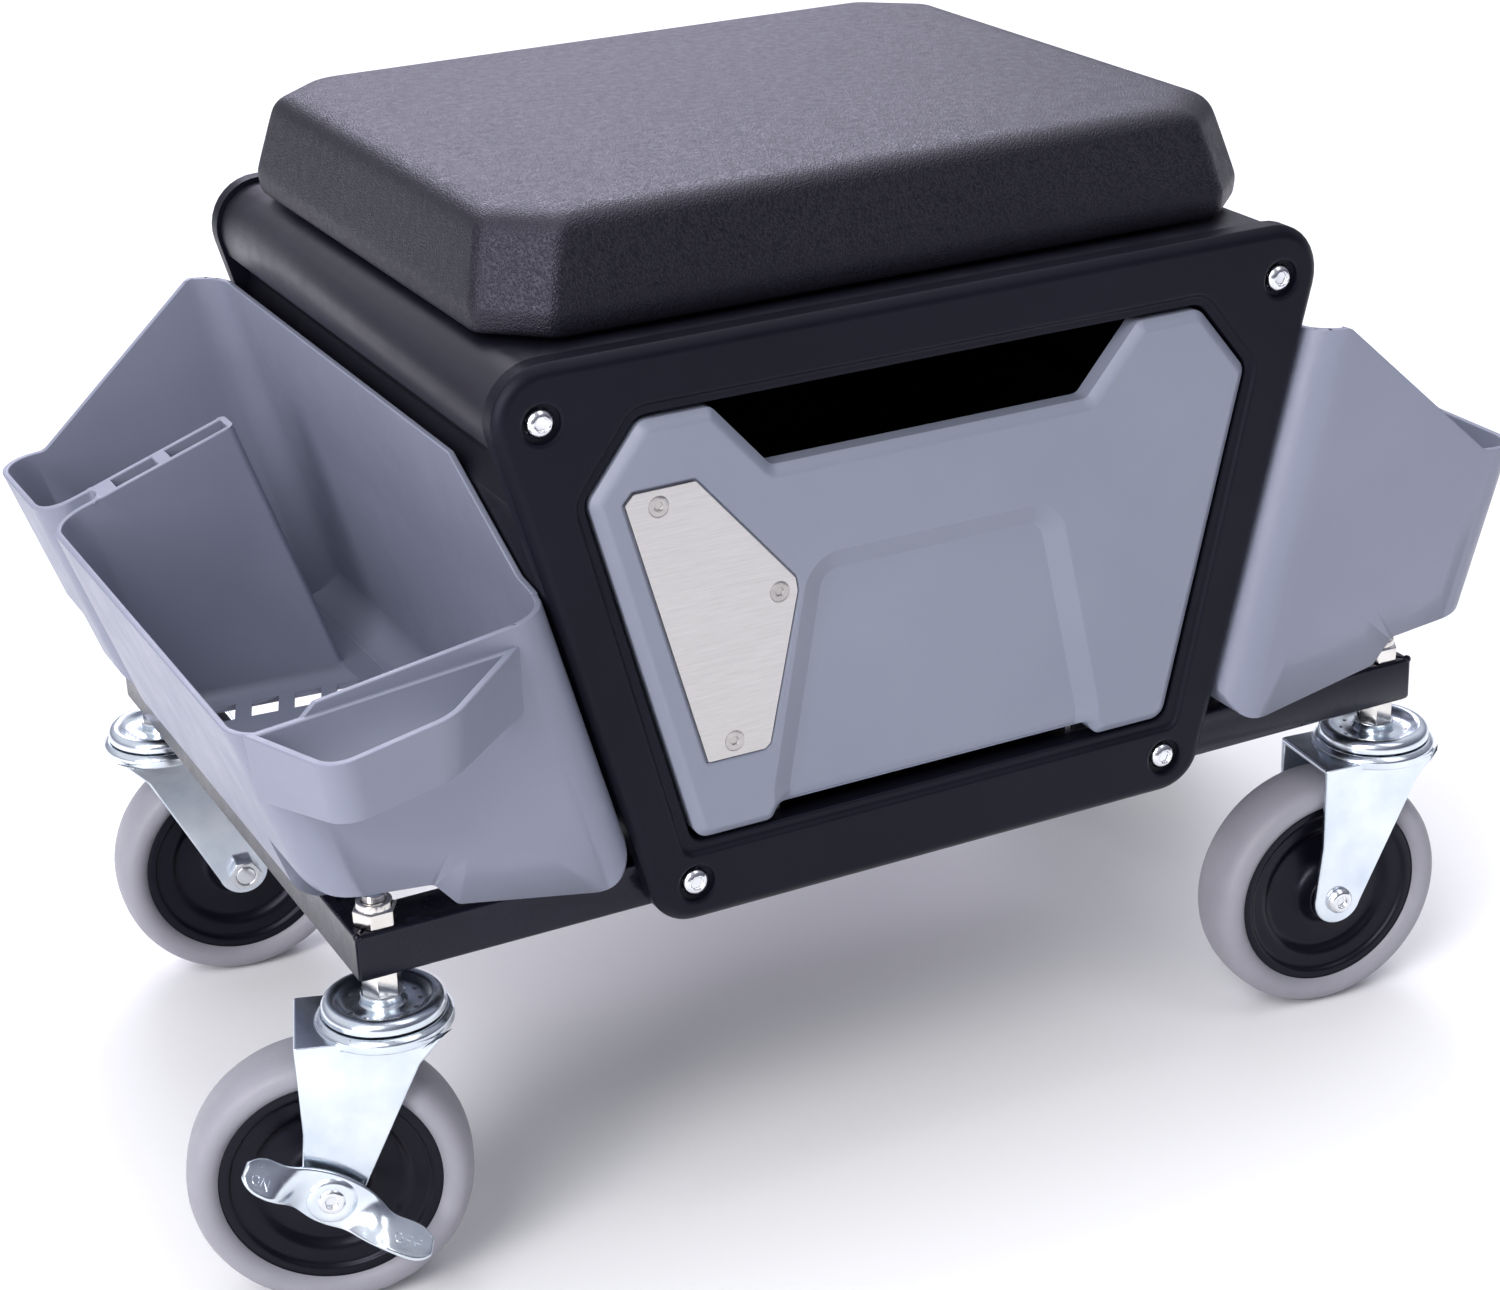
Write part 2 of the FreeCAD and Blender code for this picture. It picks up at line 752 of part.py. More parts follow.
def drawer_front():
    """The drawer's shaped front: ears, hand notch, feet, arched field and the trim's pocket."""
    half = [(drawer_notch_half, drawer_notch_z, drawer_notch_radius),
            (drawer_ear_inner, drawer_ear_top, drawer_notch_radius),
            (drawer_ear_outer, drawer_ear_top, drawer_corner_radius),
            (drawer_wide_half, drawer_wide_z, drawer_corner_radius),
            (drawer_foot_outer, drawer_foot_z, drawer_corner_radius),
            (drawer_foot_inner, drawer_foot_z, drawer_foot_radius),
            (drawer_field_half, drawer_field_z, drawer_foot_radius)]
    outline = mirrored(half)
    edge = -drawer_face + drawer_chamfer * drawer_chamfer_share
    bevel = loft([rounded_wire(outline, upright(edge)),
                  rounded_wire(shrunk(outline, drawer_chamfer), upright(-drawer_face))])
    panel = prism_y(outline, edge, -drawer_back).fuse(bevel)

    def arch(inset, y):
        low = drawer_field_z - overrun - inset
        half_arch = [(arch_top_half - inset, arch_top_z - inset, arch_radius - inset / 2),
                     (arch_low_half - inset, arch_low_z, overrun),
                     (arch_low_half - inset, low, 0)]
        return rounded_wire(mirrored(half_arch), upright(y))

    spread = arch_slope * overrun / arch_depth
    panel = panel.cut(loft([arch(-spread, -drawer_face - overrun),
                            arch(arch_slope, -drawer_face + arch_depth)]))
    corners = [(x, z, trim_radius) for x, z in trim_points]
    outline = rounded_wire(corners, upright(-drawer_face - overrun))
    pocket = Part.Face(outline.makeOffset2D(trim_gap))
    panel = panel.cut(pocket.extrude(V(0, overrun + trim_thickness - trim_proud, 0)))
    for x, z in trim_screw_points:
        panel = panel.cut(rod(small_screw_radius + thread_clearance, V(x, -drawer_face - overrun, z),
                              V(0, 1, 0), overrun + trim_thickness - trim_proud + small_screw_bite))
    return with_drawer_holes(panel)


def trim_plate():
    """The brushed metal plate in the drawer front's pocket, countersunk for its screws."""
    front = -drawer_face - trim_proud
    plate = prism_y([(x, z, trim_radius) for x, z in trim_points], front, front + trim_thickness)
    for x, z in trim_screw_points:
        cone = Part.makeCone(small_head_radius, small_screw_radius + thread_clearance, small_head_height,
                             V(x, front, z), V(0, 1, 0))
        plate = plate.cut(cone)
        plate = plate.cut(rod(small_screw_radius + thread_clearance, V(x, front - overrun, z), V(0, 1, 0),
                              2 * overrun))
    return plate


def trim_screws():
    """Three countersunk screws that hold the trim plate."""
    front = -drawer_face - trim_proud
    screws = []
    for x, z in trim_screw_points:
        head = Part.makeCone(small_head_radius - running_gap, small_screw_radius - running_gap,
                             small_head_height, V(x, front, z), V(0, 1, 0))
        shank = rod(small_screw_radius - running_gap, V(x, front, z), V(0, 1, 0),
                    trim_thickness + small_screw_bite)
        socket = hexagon(small_socket_radius * 2, small_head_height, V(0, 0, 0))
        socket.Placement = FreeCAD.Placement(V(x, front, z), FreeCAD.Rotation(Z_AXIS, V(0, 1, 0)))
        shrink = small_head_height / 2
        socket.translate(V(0, -shrink, 0))
        screws.append(head.fuse(shank).removeSplitter().cut(socket))
    return screws


def tray_half(z):
    """Half width of the tray's leaning sides at a height."""
    return tray_low_half + (z - tray_low_z) * (tray_high_half - tray_low_half) / (tray_high_z - tray_low_z)


def drawer_tray():
    """The open drawer box, with two skids under its floor."""
    outer = [(tray_half(tray_high_z), tray_high_z, 0), (tray_half(tray_low_z), tray_low_z, 0)]
    floor = tray_low_z + tray_wall
    rise = tray_high_z + overrun
    inner = [(tray_half(rise) - tray_wall, rise, 0), (tray_half(floor) - tray_wall, floor, 0)]
    y0 = -drawer_back
    y1 = y0 + tray_length
    tray = prism_y(mirrored(outer), y0, y1)
    tray = tray.cut(prism_y(mirrored(inner), y0 + tray_wall, y1 - tray_wall))
    skid_half = runner_width / 2 - runner_wall - slide_gap
    base = frame_top + floor_wall + runner_base + slide_gap
    skids = []
    for side in (-1, 1):
        x = side * runner_half_spacing
        skids.append(box(x - skid_half, x + skid_half, y0, y1, base, tray_low_z + tray_wall / 2))
    return with_drawer_holes(fuse([tray] + skids))


def runner(side):
    """A fixed channel that guides one skid of the drawer."""
    x = side * runner_half_spacing
    half = runner_width / 2
    low = frame_top + floor_wall
    y0 = -plate_back + cover_end_gap
    channel = box(x - half, x + half, y0, y0 + runner_length, low, low + runner_height)
    return channel.cut(box(x - half + runner_wall, x + half - runner_wall, y0 - overrun,
                           y0 + runner_length + overrun, low + runner_base, low + runner_height + overrun))


def drawer_screws():
    """Four screws that hold the tray to the back of the drawer front."""
    screws = []
    for x, z in drawer_screw_points():
        head = rod(small_head_radius, V(x, -drawer_back + tray_wall, z), V(0, 1, 0), small_head_height)
        shank = rod(small_screw_radius, V(x, -drawer_back - small_screw_bite / 2, z), V(0, 1, 0),
                    small_screw_bite / 2 + tray_wall + small_head_height)
        screws.append(head.fuse(shank).removeSplitter())
    return screws


def bin_inner_x(z):
    """The bin's face against the body, on the outer side of the body's leaning line."""
    return body_half(z) + bin_body_gap


def bin_outer_x(z):
    """The bin's outer face at a height."""
    lean = (bin_outer_top_x - bin_outer_low_x) / (bin_outer_top_z - bin_outer_low_z)
    return bin_outer_low_x + (z - bin_outer_low_z) * lean


def bin_floor_z(x):
    """The bin's sloping underside at a distance from the middle."""
    return bin_floor_low_z + (x - bin_floor_low_x) * bin_floor_slope


def bin_free_x(z):
    """The free edge of the rack's wall at a height."""
    lean = (rack_top_inner_x - rack_free_low_x) / (rack_top_inner_z - bin_floor_low_z)
    return rack_top_inner_x + (z - rack_top_inner_z) * lean


def bin_profile(inset, lift, deep):
    """The bin's cross-section, stepped at its ends or deep in its middle, open above its rim when lifted."""
    if deep:
        low_z = bin_deep_z + inset
        far_z = low_z + (bin_outer_low_x - bin_floor_low_x) * bin_deep_slope
        profile = [(-bin_inner_x(low_z) - inset, low_z, bin_low_radius - inset),
                   (-bin_outer_x(far_z) + inset, far_z, bin_outer_radius - inset)]
    else:
        low_z = bin_floor_z(bin_inner_x(bin_floor_low_z)) + inset
        far_z = bin_outer_low_z + inset
        profile = [(-bin_inner_x(low_z) - inset, low_z, bin_low_radius - inset),
                   (-bin_step_low_x + inset / 2, bin_floor_z(bin_step_low_x) + inset, bin_step_radius),
                   (-bin_step_high_x + inset / 2, bin_step_high_z + inset, bin_step_radius),
                   (-bin_outer_x(far_z) + inset, far_z, bin_outer_radius - inset)]
    if lift:
        top = bin_rim_inner_z + lift
        profile += [(-bin_outer_x(top) + inset, top, 0), (-bin_inner_x(top) - inset, top, 0)]
    else:
        profile += [(-bin_outer_top_x, bin_outer_top_z, 0), (-bin_rim_outer_x, bin_rim_outer_z, 2 * bin_wall),
                    (-bin_rim_inner_x, bin_rim_inner_z, 2 * bin_wall),
                    (-bin_inner_x(bin_rim_inner_z), bin_rim_inner_z, 0)]
    return profile


def bin_plan(inset, z, outer_notch):
    """The bin's plan at a height: outside with the groove, inside with the rack's wall."""
    near = -bin_inner_x(z) - inset
    far = -bin_outer_x(z) + inset
    front = -bin_front + inset
    rear = bin_rear - inset
    notch = far + rack_inset if outer_notch else -bin_free_x(z)
    tip = rack_tip_radius
    return [(near, front, bin_plan_radius - inset), (near, rear, bin_plan_radius - inset),
            (far, rear, bin_plan_radius - inset),
            (far, rack_front + rack_gap + inset, rack_flare_radius - inset),
            (notch, rack_front + rack_gap + inset, tip), (notch, rack_front - inset, tip),
            (far, rack_front - inset, rack_flare_radius - inset), (far, front, bin_plan_radius - inset)]


def bin_body(inset, lift, outer_notch):
    """A leaning block on the bin's plan, cut to its stepped ends and its deep middle."""
    low = bin_floor_low_z - overrun
    high = bin_rim_inner_z + overrun
    block = loft([rounded_wire(bin_plan(inset, z, outer_notch), level(z)) for z in (low, high)])
    ends = prism_y(bin_profile(inset, lift, False), -bin_front - overrun, bin_rear + overrun)
    middle = prism_y(bin_profile(inset, lift, True), -bin_deep_half + inset, bin_deep_half - inset)
    return block.common(ends).fuse(block.common(middle))


def bin_handle():
    """The loop on the bin's front end: a leaning band that stands off the wall."""
    def ring(shrink, drop, wall):
        root = -bin_front + bin_wall / 2
        plan = [(-handle_root_inner_x, root, 0), (-handle_root_outer_x + shrink / 2, root, 0),
                (-handle_outer_x + shrink, -bin_front - handle_reach + shrink, handle_radius),
                (-handle_inner_x, -bin_front - handle_inner_reach + shrink, 2 * handle_radius)]
        plan = shrunk(plan, wall) if wall else plan
        level_z = handle_outer_z - drop + handle_outer_x * handle_slope
        return rounded_wire(plan, lambda p: V(p.x, p.y, level_z + p.x * handle_slope))

    lift = overrun
    outer = loft([ring(handle_draft, handle_height, 0), ring(0, 0, 0)])
    inner = loft([ring(handle_draft + lift / handle_height * handle_draft, handle_height + lift, handle_wall),
                  ring(-lift / handle_height * handle_draft, -lift, handle_wall)])
    return outer.cut(inner)


def bin_hooks():
    """Two hooks on the bin's back that drop behind the side panel."""
    hooks = []
    inner = -body_half(hook_z) + panel_joint_gap + panel_wall + hook_gap
    start = -bin_inner_x(hook_z) - bin_wall / 2
    for way in (-1, 1):
        y = way * hook_spacing / 2
        y0 = y - hook_width / 2
        y1 = y + hook_width / 2
        arm = box(start, inner + panel_wall, y0, y1, hook_z, hook_z + hook_height)
        lip = box(inner + panel_slope_shift, inner + panel_wall, y0, y1,
                  hook_z - hook_lip, hook_z + hook_height / 2)
        hooks += [arm, lip]
    return hooks


def left_bin():
    """The left bin: leaning box, rack wall with tool slots, drained floor, handle loop and hooks."""
    shell = bin_body(0, 0, True).cut(bin_body(bin_wall, overrun, False))
    top = bin_rim_inner_z + overrun
    reach = bin_outer_top_x + overrun
    rack_roof = [(-reach, bin_outer_top_z, 0), (-rack_top_inner_x, rack_top_inner_z, 0),
                 (-rack_top_inner_x + overrun, rack_top_inner_z, 0), (-rack_top_inner_x + overrun, top, 0),
                 (-reach, top, 0)]
    rack_back = rack_front + rack_gap
    shell = shell.cut(prism_y(rack_roof, rack_front - bin_wall - overrun, rack_back + bin_wall + overrun))
    dip = [(-bin_dip_start, bin_rim_inner_z, 0), (-bin_dip_end, bin_dip_z, bin_wall),
           (-bin_front + bin_front_rim_depth / 2, bin_front_rim_inner_z, 0),
           (-bin_front - overrun, bin_front_rim_inner_z, 0), (-bin_front - overrun, top, 0),
           (-bin_dip_start, top, 0)]
    shell = shell.cut(prism_x(dip, -reach, 0))
    run = bin_outer_top_x - bin_inner_x(bin_front_rim_inner_z)
    slope = (bin_front_rim_inner_z - bin_front_rim_outer_z) / run
    far_z = bin_front_rim_outer_z - overrun * slope
    front_rim = [(-bin_inner_x(bin_front_rim_inner_z), bin_front_rim_inner_z, 0), (-reach, far_z, 0),
                 (-reach, top, 0), (-bin_inner_x(bin_front_rim_inner_z), top, 0)]
    shell = shell.cut(prism_y(front_rim, -bin_front - overrun, -bin_front + bin_front_rim_depth))

    def lean(x_high, z):
        return -(x_high + bin_free_x(z) - bin_free_x(bin_outer_top_z))

    first = bin_outer_top_x - rack_slot_inset
    for start, end in ((first, first - rack_slot_length),
                       (first - rack_slot_length - rack_rib, bin_free_x(bin_outer_top_z) + bin_wall)):
        slot = [(lean(start, rack_slot_floor), rack_slot_floor, 0), (lean(start, top), top, 0),
                (lean(end, top), top, 0), (lean(end, rack_slot_floor), rack_slot_floor, 0)]
        shell = shell.cut(prism_y(slot, rack_front, rack_front + rack_gap))
    for row in range(drain_rows):
        y = drain_first_y - row * drain_row_pitch
        for column in range(drain_columns):
            x = -drain_first_x - column * drain_pitch
            ring = [(x, y, 0), (x - drain_width, y, 0), (x - drain_width - drain_slant, y - drain_length, 0),
                    (x - drain_slant, y - drain_length, 0)]
            shell = shell.cut(prism_z(ring, bin_floor_low_z - overrun, bin_step_high_z + 2 * bin_wall))
    return fuse([shell, bin_handle()] + bin_hooks())


def stem_points():
    """The four stem axes with their casters' names and headings."""
    return [("front_left", -stem_x, -stem_y, caster_yaw_front_left),
            ("front_right", stem_x, -stem_y, caster_yaw_front_right),
            ("rear_right", stem_x, stem_y, caster_yaw_front_left - math.pi),
            ("rear_left", -stem_x, stem_y, caster_yaw_front_right - math.pi)]


def caster_stem():
    """Threaded stem, upper race and rivet, with its axis on Z."""
    race_low = race_top - race_skirt
    dish = revolved([(0, race_top), (race_radius - race_edge, race_top), (race_radius, race_top - race_edge),
                     (race_radius, race_low), (race_radius - race_edge, race_low),
                     (race_radius - race_edge, race_top - race_thickness), (0, race_top - race_thickness)],
                    V(0, 0, 0), Z_AXIS)
    collar = rod(race_collar_radius, V(0, 0, race_top), Z_AXIS, race_collar_height)
    straight = stem_top - stem_dome - race_top
    stem = rod(stem_radius, V(0, 0, race_top), Z_AXIS, straight)
    tip = Part.makeCone(stem_radius, stem_radius / 2, stem_dome, V(0, 0, stem_top - stem_dome), Z_AXIS)
    rivet_low = fork_top - fork_sheet - swivel_gap - rivet_head_height
    shank = rod(rivet_radius, V(0, 0, rivet_low), Z_AXIS, race_top - race_thickness / 2 - rivet_low)
    head = Part.makeCone(rivet_head_radius * 0.75, rivet_head_radius, rivet_head_height,
                         V(0, 0, rivet_low), Z_AXIS)
    return fuse([dish, collar, stem, tip, shank, head])


def nut(flats, height, base, bore):
    """A plain hexagon nut on the stem."""
    shape = hexagon(flats, height, base)
    return shape.cut(rod(bore, base - V(0, 0, overrun), Z_AXIS, height + 2 * overrun))


def top_nut():
    """The locking nut on top of the frame: hexagon and round collar."""
    base = V(0, 0, frame_top)
    bore = stem_radius + thread_clearance
    collar = rod(top_nut_collar_radius, base, Z_AXIS, top_nut_height + top_nut_collar_height)
    shape = hexagon(top_nut_flats, top_nut_height, base).fuse(collar).removeSplitter()
    return shape.cut(rod(bore, base - V(0, 0, overrun), Z_AXIS, top_nut_height + 3 * overrun))


def lower_nut():
    """The nut between the upper race's collar and the frame."""
    low = race_top + race_collar_height
    return nut(lower_nut_flats, frame_bottom - low, V(0, 0, low), stem_radius + thread_clearance)


def caster_fork():
    """The swivelling fork, trailing along +X, with its lower race ring."""
    half = fork_inner_half + fork_sheet
    low = fork_top - fork_sheet
    plate = fuse([rod(fork_ring_radius, V(0, 0, low), Z_AXIS, fork_sheet),
                  box(0, fork_rear, -half, half, low, fork_top)])
    ring = revolved([(fork_ring_land, fork_top - fork_sheet / 2),
                     (fork_ring_radius, fork_top - fork_sheet / 2),
                     (fork_ring_radius, fork_top + fork_ring_height - race_edge),
                     (fork_ring_radius - race_edge, fork_top + fork_ring_height),
                     (fork_ring_land, fork_top + fork_ring_height)], V(0, 0, 0), Z_AXIS)
    ring = ring.cut(rod(race_radius + swivel_gap, V(0, 0, race_top - race_skirt - swivel_gap),
                        Z_AXIS, race_skirt))
    parts = [plate, ring]
    axle_z = wheel_radius
    for side in (-1, 1):
        y0 = side * fork_inner_half if side > 0 else -half
        foot = fork_foot_radius
        front = math.atan2(fork_front_low_z - axle_z, fork_front_low - trail) + math.pi / 2
        outline = [(fork_rear, low + fork_sheet / 2, 0), (fork_front_top, low + fork_sheet / 2, 0),
                   (fork_front_low, fork_front_low_z, 3 * fork_sheet),
                   (trail + foot * math.cos(front), axle_z + foot * math.sin(front), 0),
                   (trail, axle_z - foot, 0), (trail + foot, axle_z, 0), (fork_rear, low - 3 * foot, 0)]
        blade = prism_y(outline, y0, y0 + fork_sheet)
        blade = blade.fuse(rod(foot, V(trail, y0, axle_z), V(0, 1, 0), fork_sheet))
        parts.append(blade)
    fork = fuse(parts)
    fork = fork.cut(rod(axle_radius + running_gap, V(trail, -half - overrun, axle_z), V(0, 1, 0),
                        2 * half + 2 * overrun))
    return fork.cut(rod(rivet_radius + running_gap, V(0, 0, low - overrun), Z_AXIS, fork_sheet + 2 * overrun))


def caster_balls():
    """The ring of balls that the fork turns on."""
    gap_middle = (fork_top + race_top - race_thickness) / 2
    radius = (race_top - race_thickness - fork_top) / 2 - ball_gap
    balls = []
    for k in range(ball_count):
        turn = 2 * math.pi * k / ball_count
        balls.append(Part.makeSphere(radius, V(ball_circle * math.cos(turn), ball_circle * math.sin(turn),
                                               gap_middle)))
    return balls


def caster_axle(pedal_side):
    """Axle bolt with a round head and a hexagon nut; it is longer where a pedal sits under the head."""
    half = fork_inner_half + fork_sheet
    stack = pedal_sheet + 2 * pedal_gap if pedal_side else 0
    head_y = half + stack
    shank = rod(axle_radius, V(trail, -head_y, wheel_radius), V(0, 1, 0), head_y + half + axle_nut_height)
    head = revolved([(0, 0), (axle_head_radius, 0), (axle_head_radius, axle_head_height / 2),
                     (axle_head_radius * 0.75, axle_head_height), (axle_recess_radius, axle_head_height),
                     (axle_recess_radius, axle_head_height - axle_recess_depth),
                     (0, axle_head_height - axle_recess_depth)], V(trail, -head_y, wheel_radius), V(0, -1, 0))
    return fuse([shank, head])


def axle_nut():
    """The hexagon nut on the far end of the axle bolt."""
    half = fork_inner_half + fork_sheet
    shape = hexagon(axle_nut_flats, axle_nut_height, V(0, 0, 0))
    shape = shape.cut(rod(axle_radius + thread_clearance, V(0, 0, -overrun),
                          Z_AXIS, axle_nut_height + 2 * overrun))
    shape.Placement = FreeCAD.Placement(V(trail, half, wheel_radius), FreeCAD.Rotation(Z_AXIS, V(0, 1, 0)))
    return shape


def wheel_bush():
    """The plain bush inside the hub."""
    half = fork_inner_half - bush_side_gap
    tube = rod(axle_radius + running_gap + bush_wall, V(trail, -half, wheel_radius), V(0, 1, 0), 2 * half)
    return tube.cut(rod(axle_radius + running_gap, V(trail, -half - overrun, wheel_radius), V(0, 1, 0),
                        2 * half + 2 * overrun))


def wheel_hub():
    """The dished plastic wheel centre."""
    bore = axle_radius + running_gap + bush_wall
    boss = fork_inner_half - hub_side_gap
    rim_in = hub_rim_radius - hub_rim_wall
    upper = [(bore, boss), (hub_boss_radius, boss), (hub_boss_radius + hub_web_half, hub_web_half),
             (hub_step_radius - hub_web_half, hub_web_half), (hub_step_radius, hub_step_half),
             (rim_in - hub_web_half / 2, hub_step_half), (rim_in, hub_rim_half),
             (hub_rim_radius, hub_rim_half)]
    lower = [(r, -h) for r, h in reversed(upper)]
    return revolved(upper + lower, V(trail, 0, wheel_radius), V(0, 1, 0))


def wheel_tyre():
    """The soft tyre with round shoulders."""
    def at(r, h):
        return V(r, 0, h)

    edges = []
    side_in = at(hub_rim_radius, hub_rim_half)
    side_out = at(tyre_shoulder_radius, tyre_half)
    crown = at(wheel_radius, tyre_crown_half)
    bend = math.sqrt(0.5)
    middle = at(tyre_shoulder_radius + (wheel_radius - tyre_shoulder_radius) * bend,
                tyre_crown_half + (tyre_half - tyre_crown_half) * bend)
    edges.append(Part.makeLine(side_in, side_out))
    edges.append(Part.Arc(side_out, middle, crown).toShape())
    edges.append(Part.makeLine(crown, at(wheel_radius, -tyre_crown_half)))
    edges.append(Part.Arc(at(wheel_radius, -tyre_crown_half),
                          at(tyre_shoulder_radius + (wheel_radius - tyre_shoulder_radius) * bend,
                             -tyre_crown_half - (tyre_half - tyre_crown_half) * bend),
                          at(tyre_shoulder_radius, -tyre_half)).toShape())
    edges.append(Part.makeLine(at(tyre_shoulder_radius, -tyre_half), at(hub_rim_radius, -hub_rim_half)))
    edges.append(Part.makeLine(at(hub_rim_radius, -hub_rim_half), side_in))
    face = Part.Face(Part.Wire(edges))
    shape = face.revolve(V(0, 0, 0), Z_AXIS, 360)
    shape.Placement = FreeCAD.Placement(V(trail, 0, wheel_radius), FreeCAD.Rotation(Z_AXIS, V(0, 1, 0)))
    return shape


def brake_pedal():
    """The brake pedal on the outer side of the fork: a disc with two arms and two outward wings."""
    inner = fork_inner_half + fork_sheet + pedal_gap
    outer = inner + pedal_sheet
    pedal = rod(pedal_hub_radius, V(0, -outer, 0), V(0, 1, 0), pedal_sheet)
    neck = pedal_neck_half
    for angle, reach in ((pedal_on_angle, pedal_on_reach),
                         (pedal_off_angle + math.degrees(math.pi), pedal_off_reach)):
        tip = reach + pedal_wing_width / 2
        root = tip - pedal_wing_width
        arm_end = root + neck
        arm = prism_y([(0, -neck, 0), (arm_end, -neck, neck / 2), (arm_end, neck, neck / 2), (0, neck, 0)],
                      -outer, -inner)
        wing = prism_z([(root, -outer - pedal_wing_depth, pedal_wing_depth / 3),
                        (tip, -outer - pedal_wing_depth, pedal_wing_depth / 3),
                        (tip, -inner, pedal_sheet / 2), (root, -inner, 0)], -pedal_sheet / 2, pedal_sheet / 2)
        arm = arm.fuse(wing)
        arm.rotate(V(0, 0, 0), V(0, -1, 0), angle)
        pedal = pedal.fuse(arm)
    pedal = pedal.removeSplitter()
    pedal = pedal.cut(rod(axle_radius + running_gap, V(0, -outer - overrun, 0), V(0, 1, 0),
                          pedal_sheet + 2 * overrun))
    pedal.translate(V(trail, 0, wheel_radius))
    return pedal


def placed(shape, x, y, yaw):
    """A caster piece turned to its heading and moved to its stem."""
    moved = shape.copy()
    moved.rotate(V(0, 0, 0), Z_AXIS, math.degrees(yaw))
    moved.translate(V(x, y, 0))
    return moved


def casters():
    """All pieces of the four casters, by node name."""
    nodes = {"stem_top_nuts": [], "stem_lower_nuts": []}
    stem = caster_stem()
    for name, x, y, yaw in stem_points():
        braked = name in ("front_left", "rear_right")
        flip = math.cos(yaw) * y > 0
        own = {"stem": [stem], "bearing_balls": caster_balls(), "fork": [caster_fork()],
               "axle": [caster_axle(braked), axle_nut()], "wheel_bush": [wheel_bush()],
               "wheel_hub": [wheel_hub()],
               "wheel_tyre": [wheel_tyre()]}
        if braked:
            own["brake_pedal"] = [brake_pedal()]
        for piece, shapes in own.items():
            turned = []
            for shape in shapes:
                if flip:
                    shape = shape.mirror(V(0, 0, 0), V(0, 1, 0))
                turned.append(placed(shape, x, y, yaw))
            nodes[name + "_" + piece] = turned
        nodes["stem_top_nuts"].append(placed(top_nut(), x, y, 0))
        nodes["stem_lower_nuts"].append(placed(lower_nut(), x, y, 0))
    return nodes


def build():
    """Every node of the seat with its solids."""
    long_rail = frame_rail(True)
    short_rail = frame_rail(False)
    panel = side_panel()
    bin_piece = left_bin()
    screws = plate_screws()
    nodes = {
        "frame_front_rail": [long_rail],
        "frame_rear_rail": [half_turn(long_rail)],
        "frame_left_rail": [short_rail],
        "frame_right_rail": [half_turn(short_rail)],
        "floor_pan": [floor_pan()],
        "left_side_panel": [panel],
        "right_side_panel": [half_turn(panel)],
        "front_plate": [front_plate()],
        "rear_plate": [rear_plate()],
        "front_plate_screws": screws,
        "rear_plate_screws": [half_turn(s) for s in screws],
        "tie_bars": tie_bars(),
        "top_cover": [top_cover()],
        "cover_saddles": cover_saddles(),
        "seat_board": [seat_board()],
        "seat_pad": [seat_pad()],
        "seat_screws": seat_screws(),
        "left_runner": [runner(-1)],
        "right_runner": [runner(1)],
        "left_bin": [bin_piece],
        "right_bin": [half_turn(bin_piece)],
        "drawer_front": [drawer_front()],
        "drawer_tray": [drawer_tray()],
        "drawer_screws": drawer_screws(),
        "trim_plate": [trim_plate()],
        "trim_screws": trim_screws(),
    }
    nodes.update(casters())
    return nodes


def write(nodes):
    """One STEP file for each node."""
    os.makedirs("parts", exist_ok=True)
    for name, solids in nodes.items():
        shape = solids[0] if len(solids) == 1 else Part.makeCompound(solids)
        shape.exportStep("parts/" + name + ".step")


write(build())
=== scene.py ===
import json
import math

import bmesh
import bpy
import mathutils
from mathutils import Matrix, Vector

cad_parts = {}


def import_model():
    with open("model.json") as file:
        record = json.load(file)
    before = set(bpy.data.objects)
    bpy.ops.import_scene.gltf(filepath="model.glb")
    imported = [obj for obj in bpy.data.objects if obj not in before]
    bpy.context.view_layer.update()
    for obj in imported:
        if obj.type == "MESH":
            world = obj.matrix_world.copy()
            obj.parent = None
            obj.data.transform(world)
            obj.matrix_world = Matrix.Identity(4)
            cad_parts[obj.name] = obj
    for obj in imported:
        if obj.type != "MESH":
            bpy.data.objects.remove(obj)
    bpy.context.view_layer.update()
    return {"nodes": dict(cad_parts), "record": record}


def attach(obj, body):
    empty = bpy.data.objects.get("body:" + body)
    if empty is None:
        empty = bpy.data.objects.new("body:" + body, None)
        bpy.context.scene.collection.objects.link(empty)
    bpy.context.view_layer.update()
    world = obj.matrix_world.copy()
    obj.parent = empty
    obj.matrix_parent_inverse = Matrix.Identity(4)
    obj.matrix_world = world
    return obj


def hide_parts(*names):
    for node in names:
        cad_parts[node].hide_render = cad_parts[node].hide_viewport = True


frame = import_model()

NODES = frame["nodes"]
SLOT_OF = {s["node"]: s["material_slot"] for s in frame["record"]["subparts"]}
BODY_OF = {node: body for body, names in frame["record"]["behaviour"]["bodies"].items()
           for node in names}
MM = 0.001

# Where each caster's stem stands and which way its wheel trails, as in the CAD part.
CASTERS = ("front_left", "front_right", "rear_left", "rear_right")
STEM = {"front_left": (-0.2108, -0.130), "front_right": (0.2108, -0.130),
        "rear_right": (0.2108, 0.130), "rear_left": (-0.2108, 0.130)}
YAW = {"front_left": 2.81, "front_right": 3.04,
       "rear_right": 2.81 - math.pi, "rear_left": 3.04 - math.pi}
TRAIL = 0.0238
AXLE_Z = 0.050


# Materials

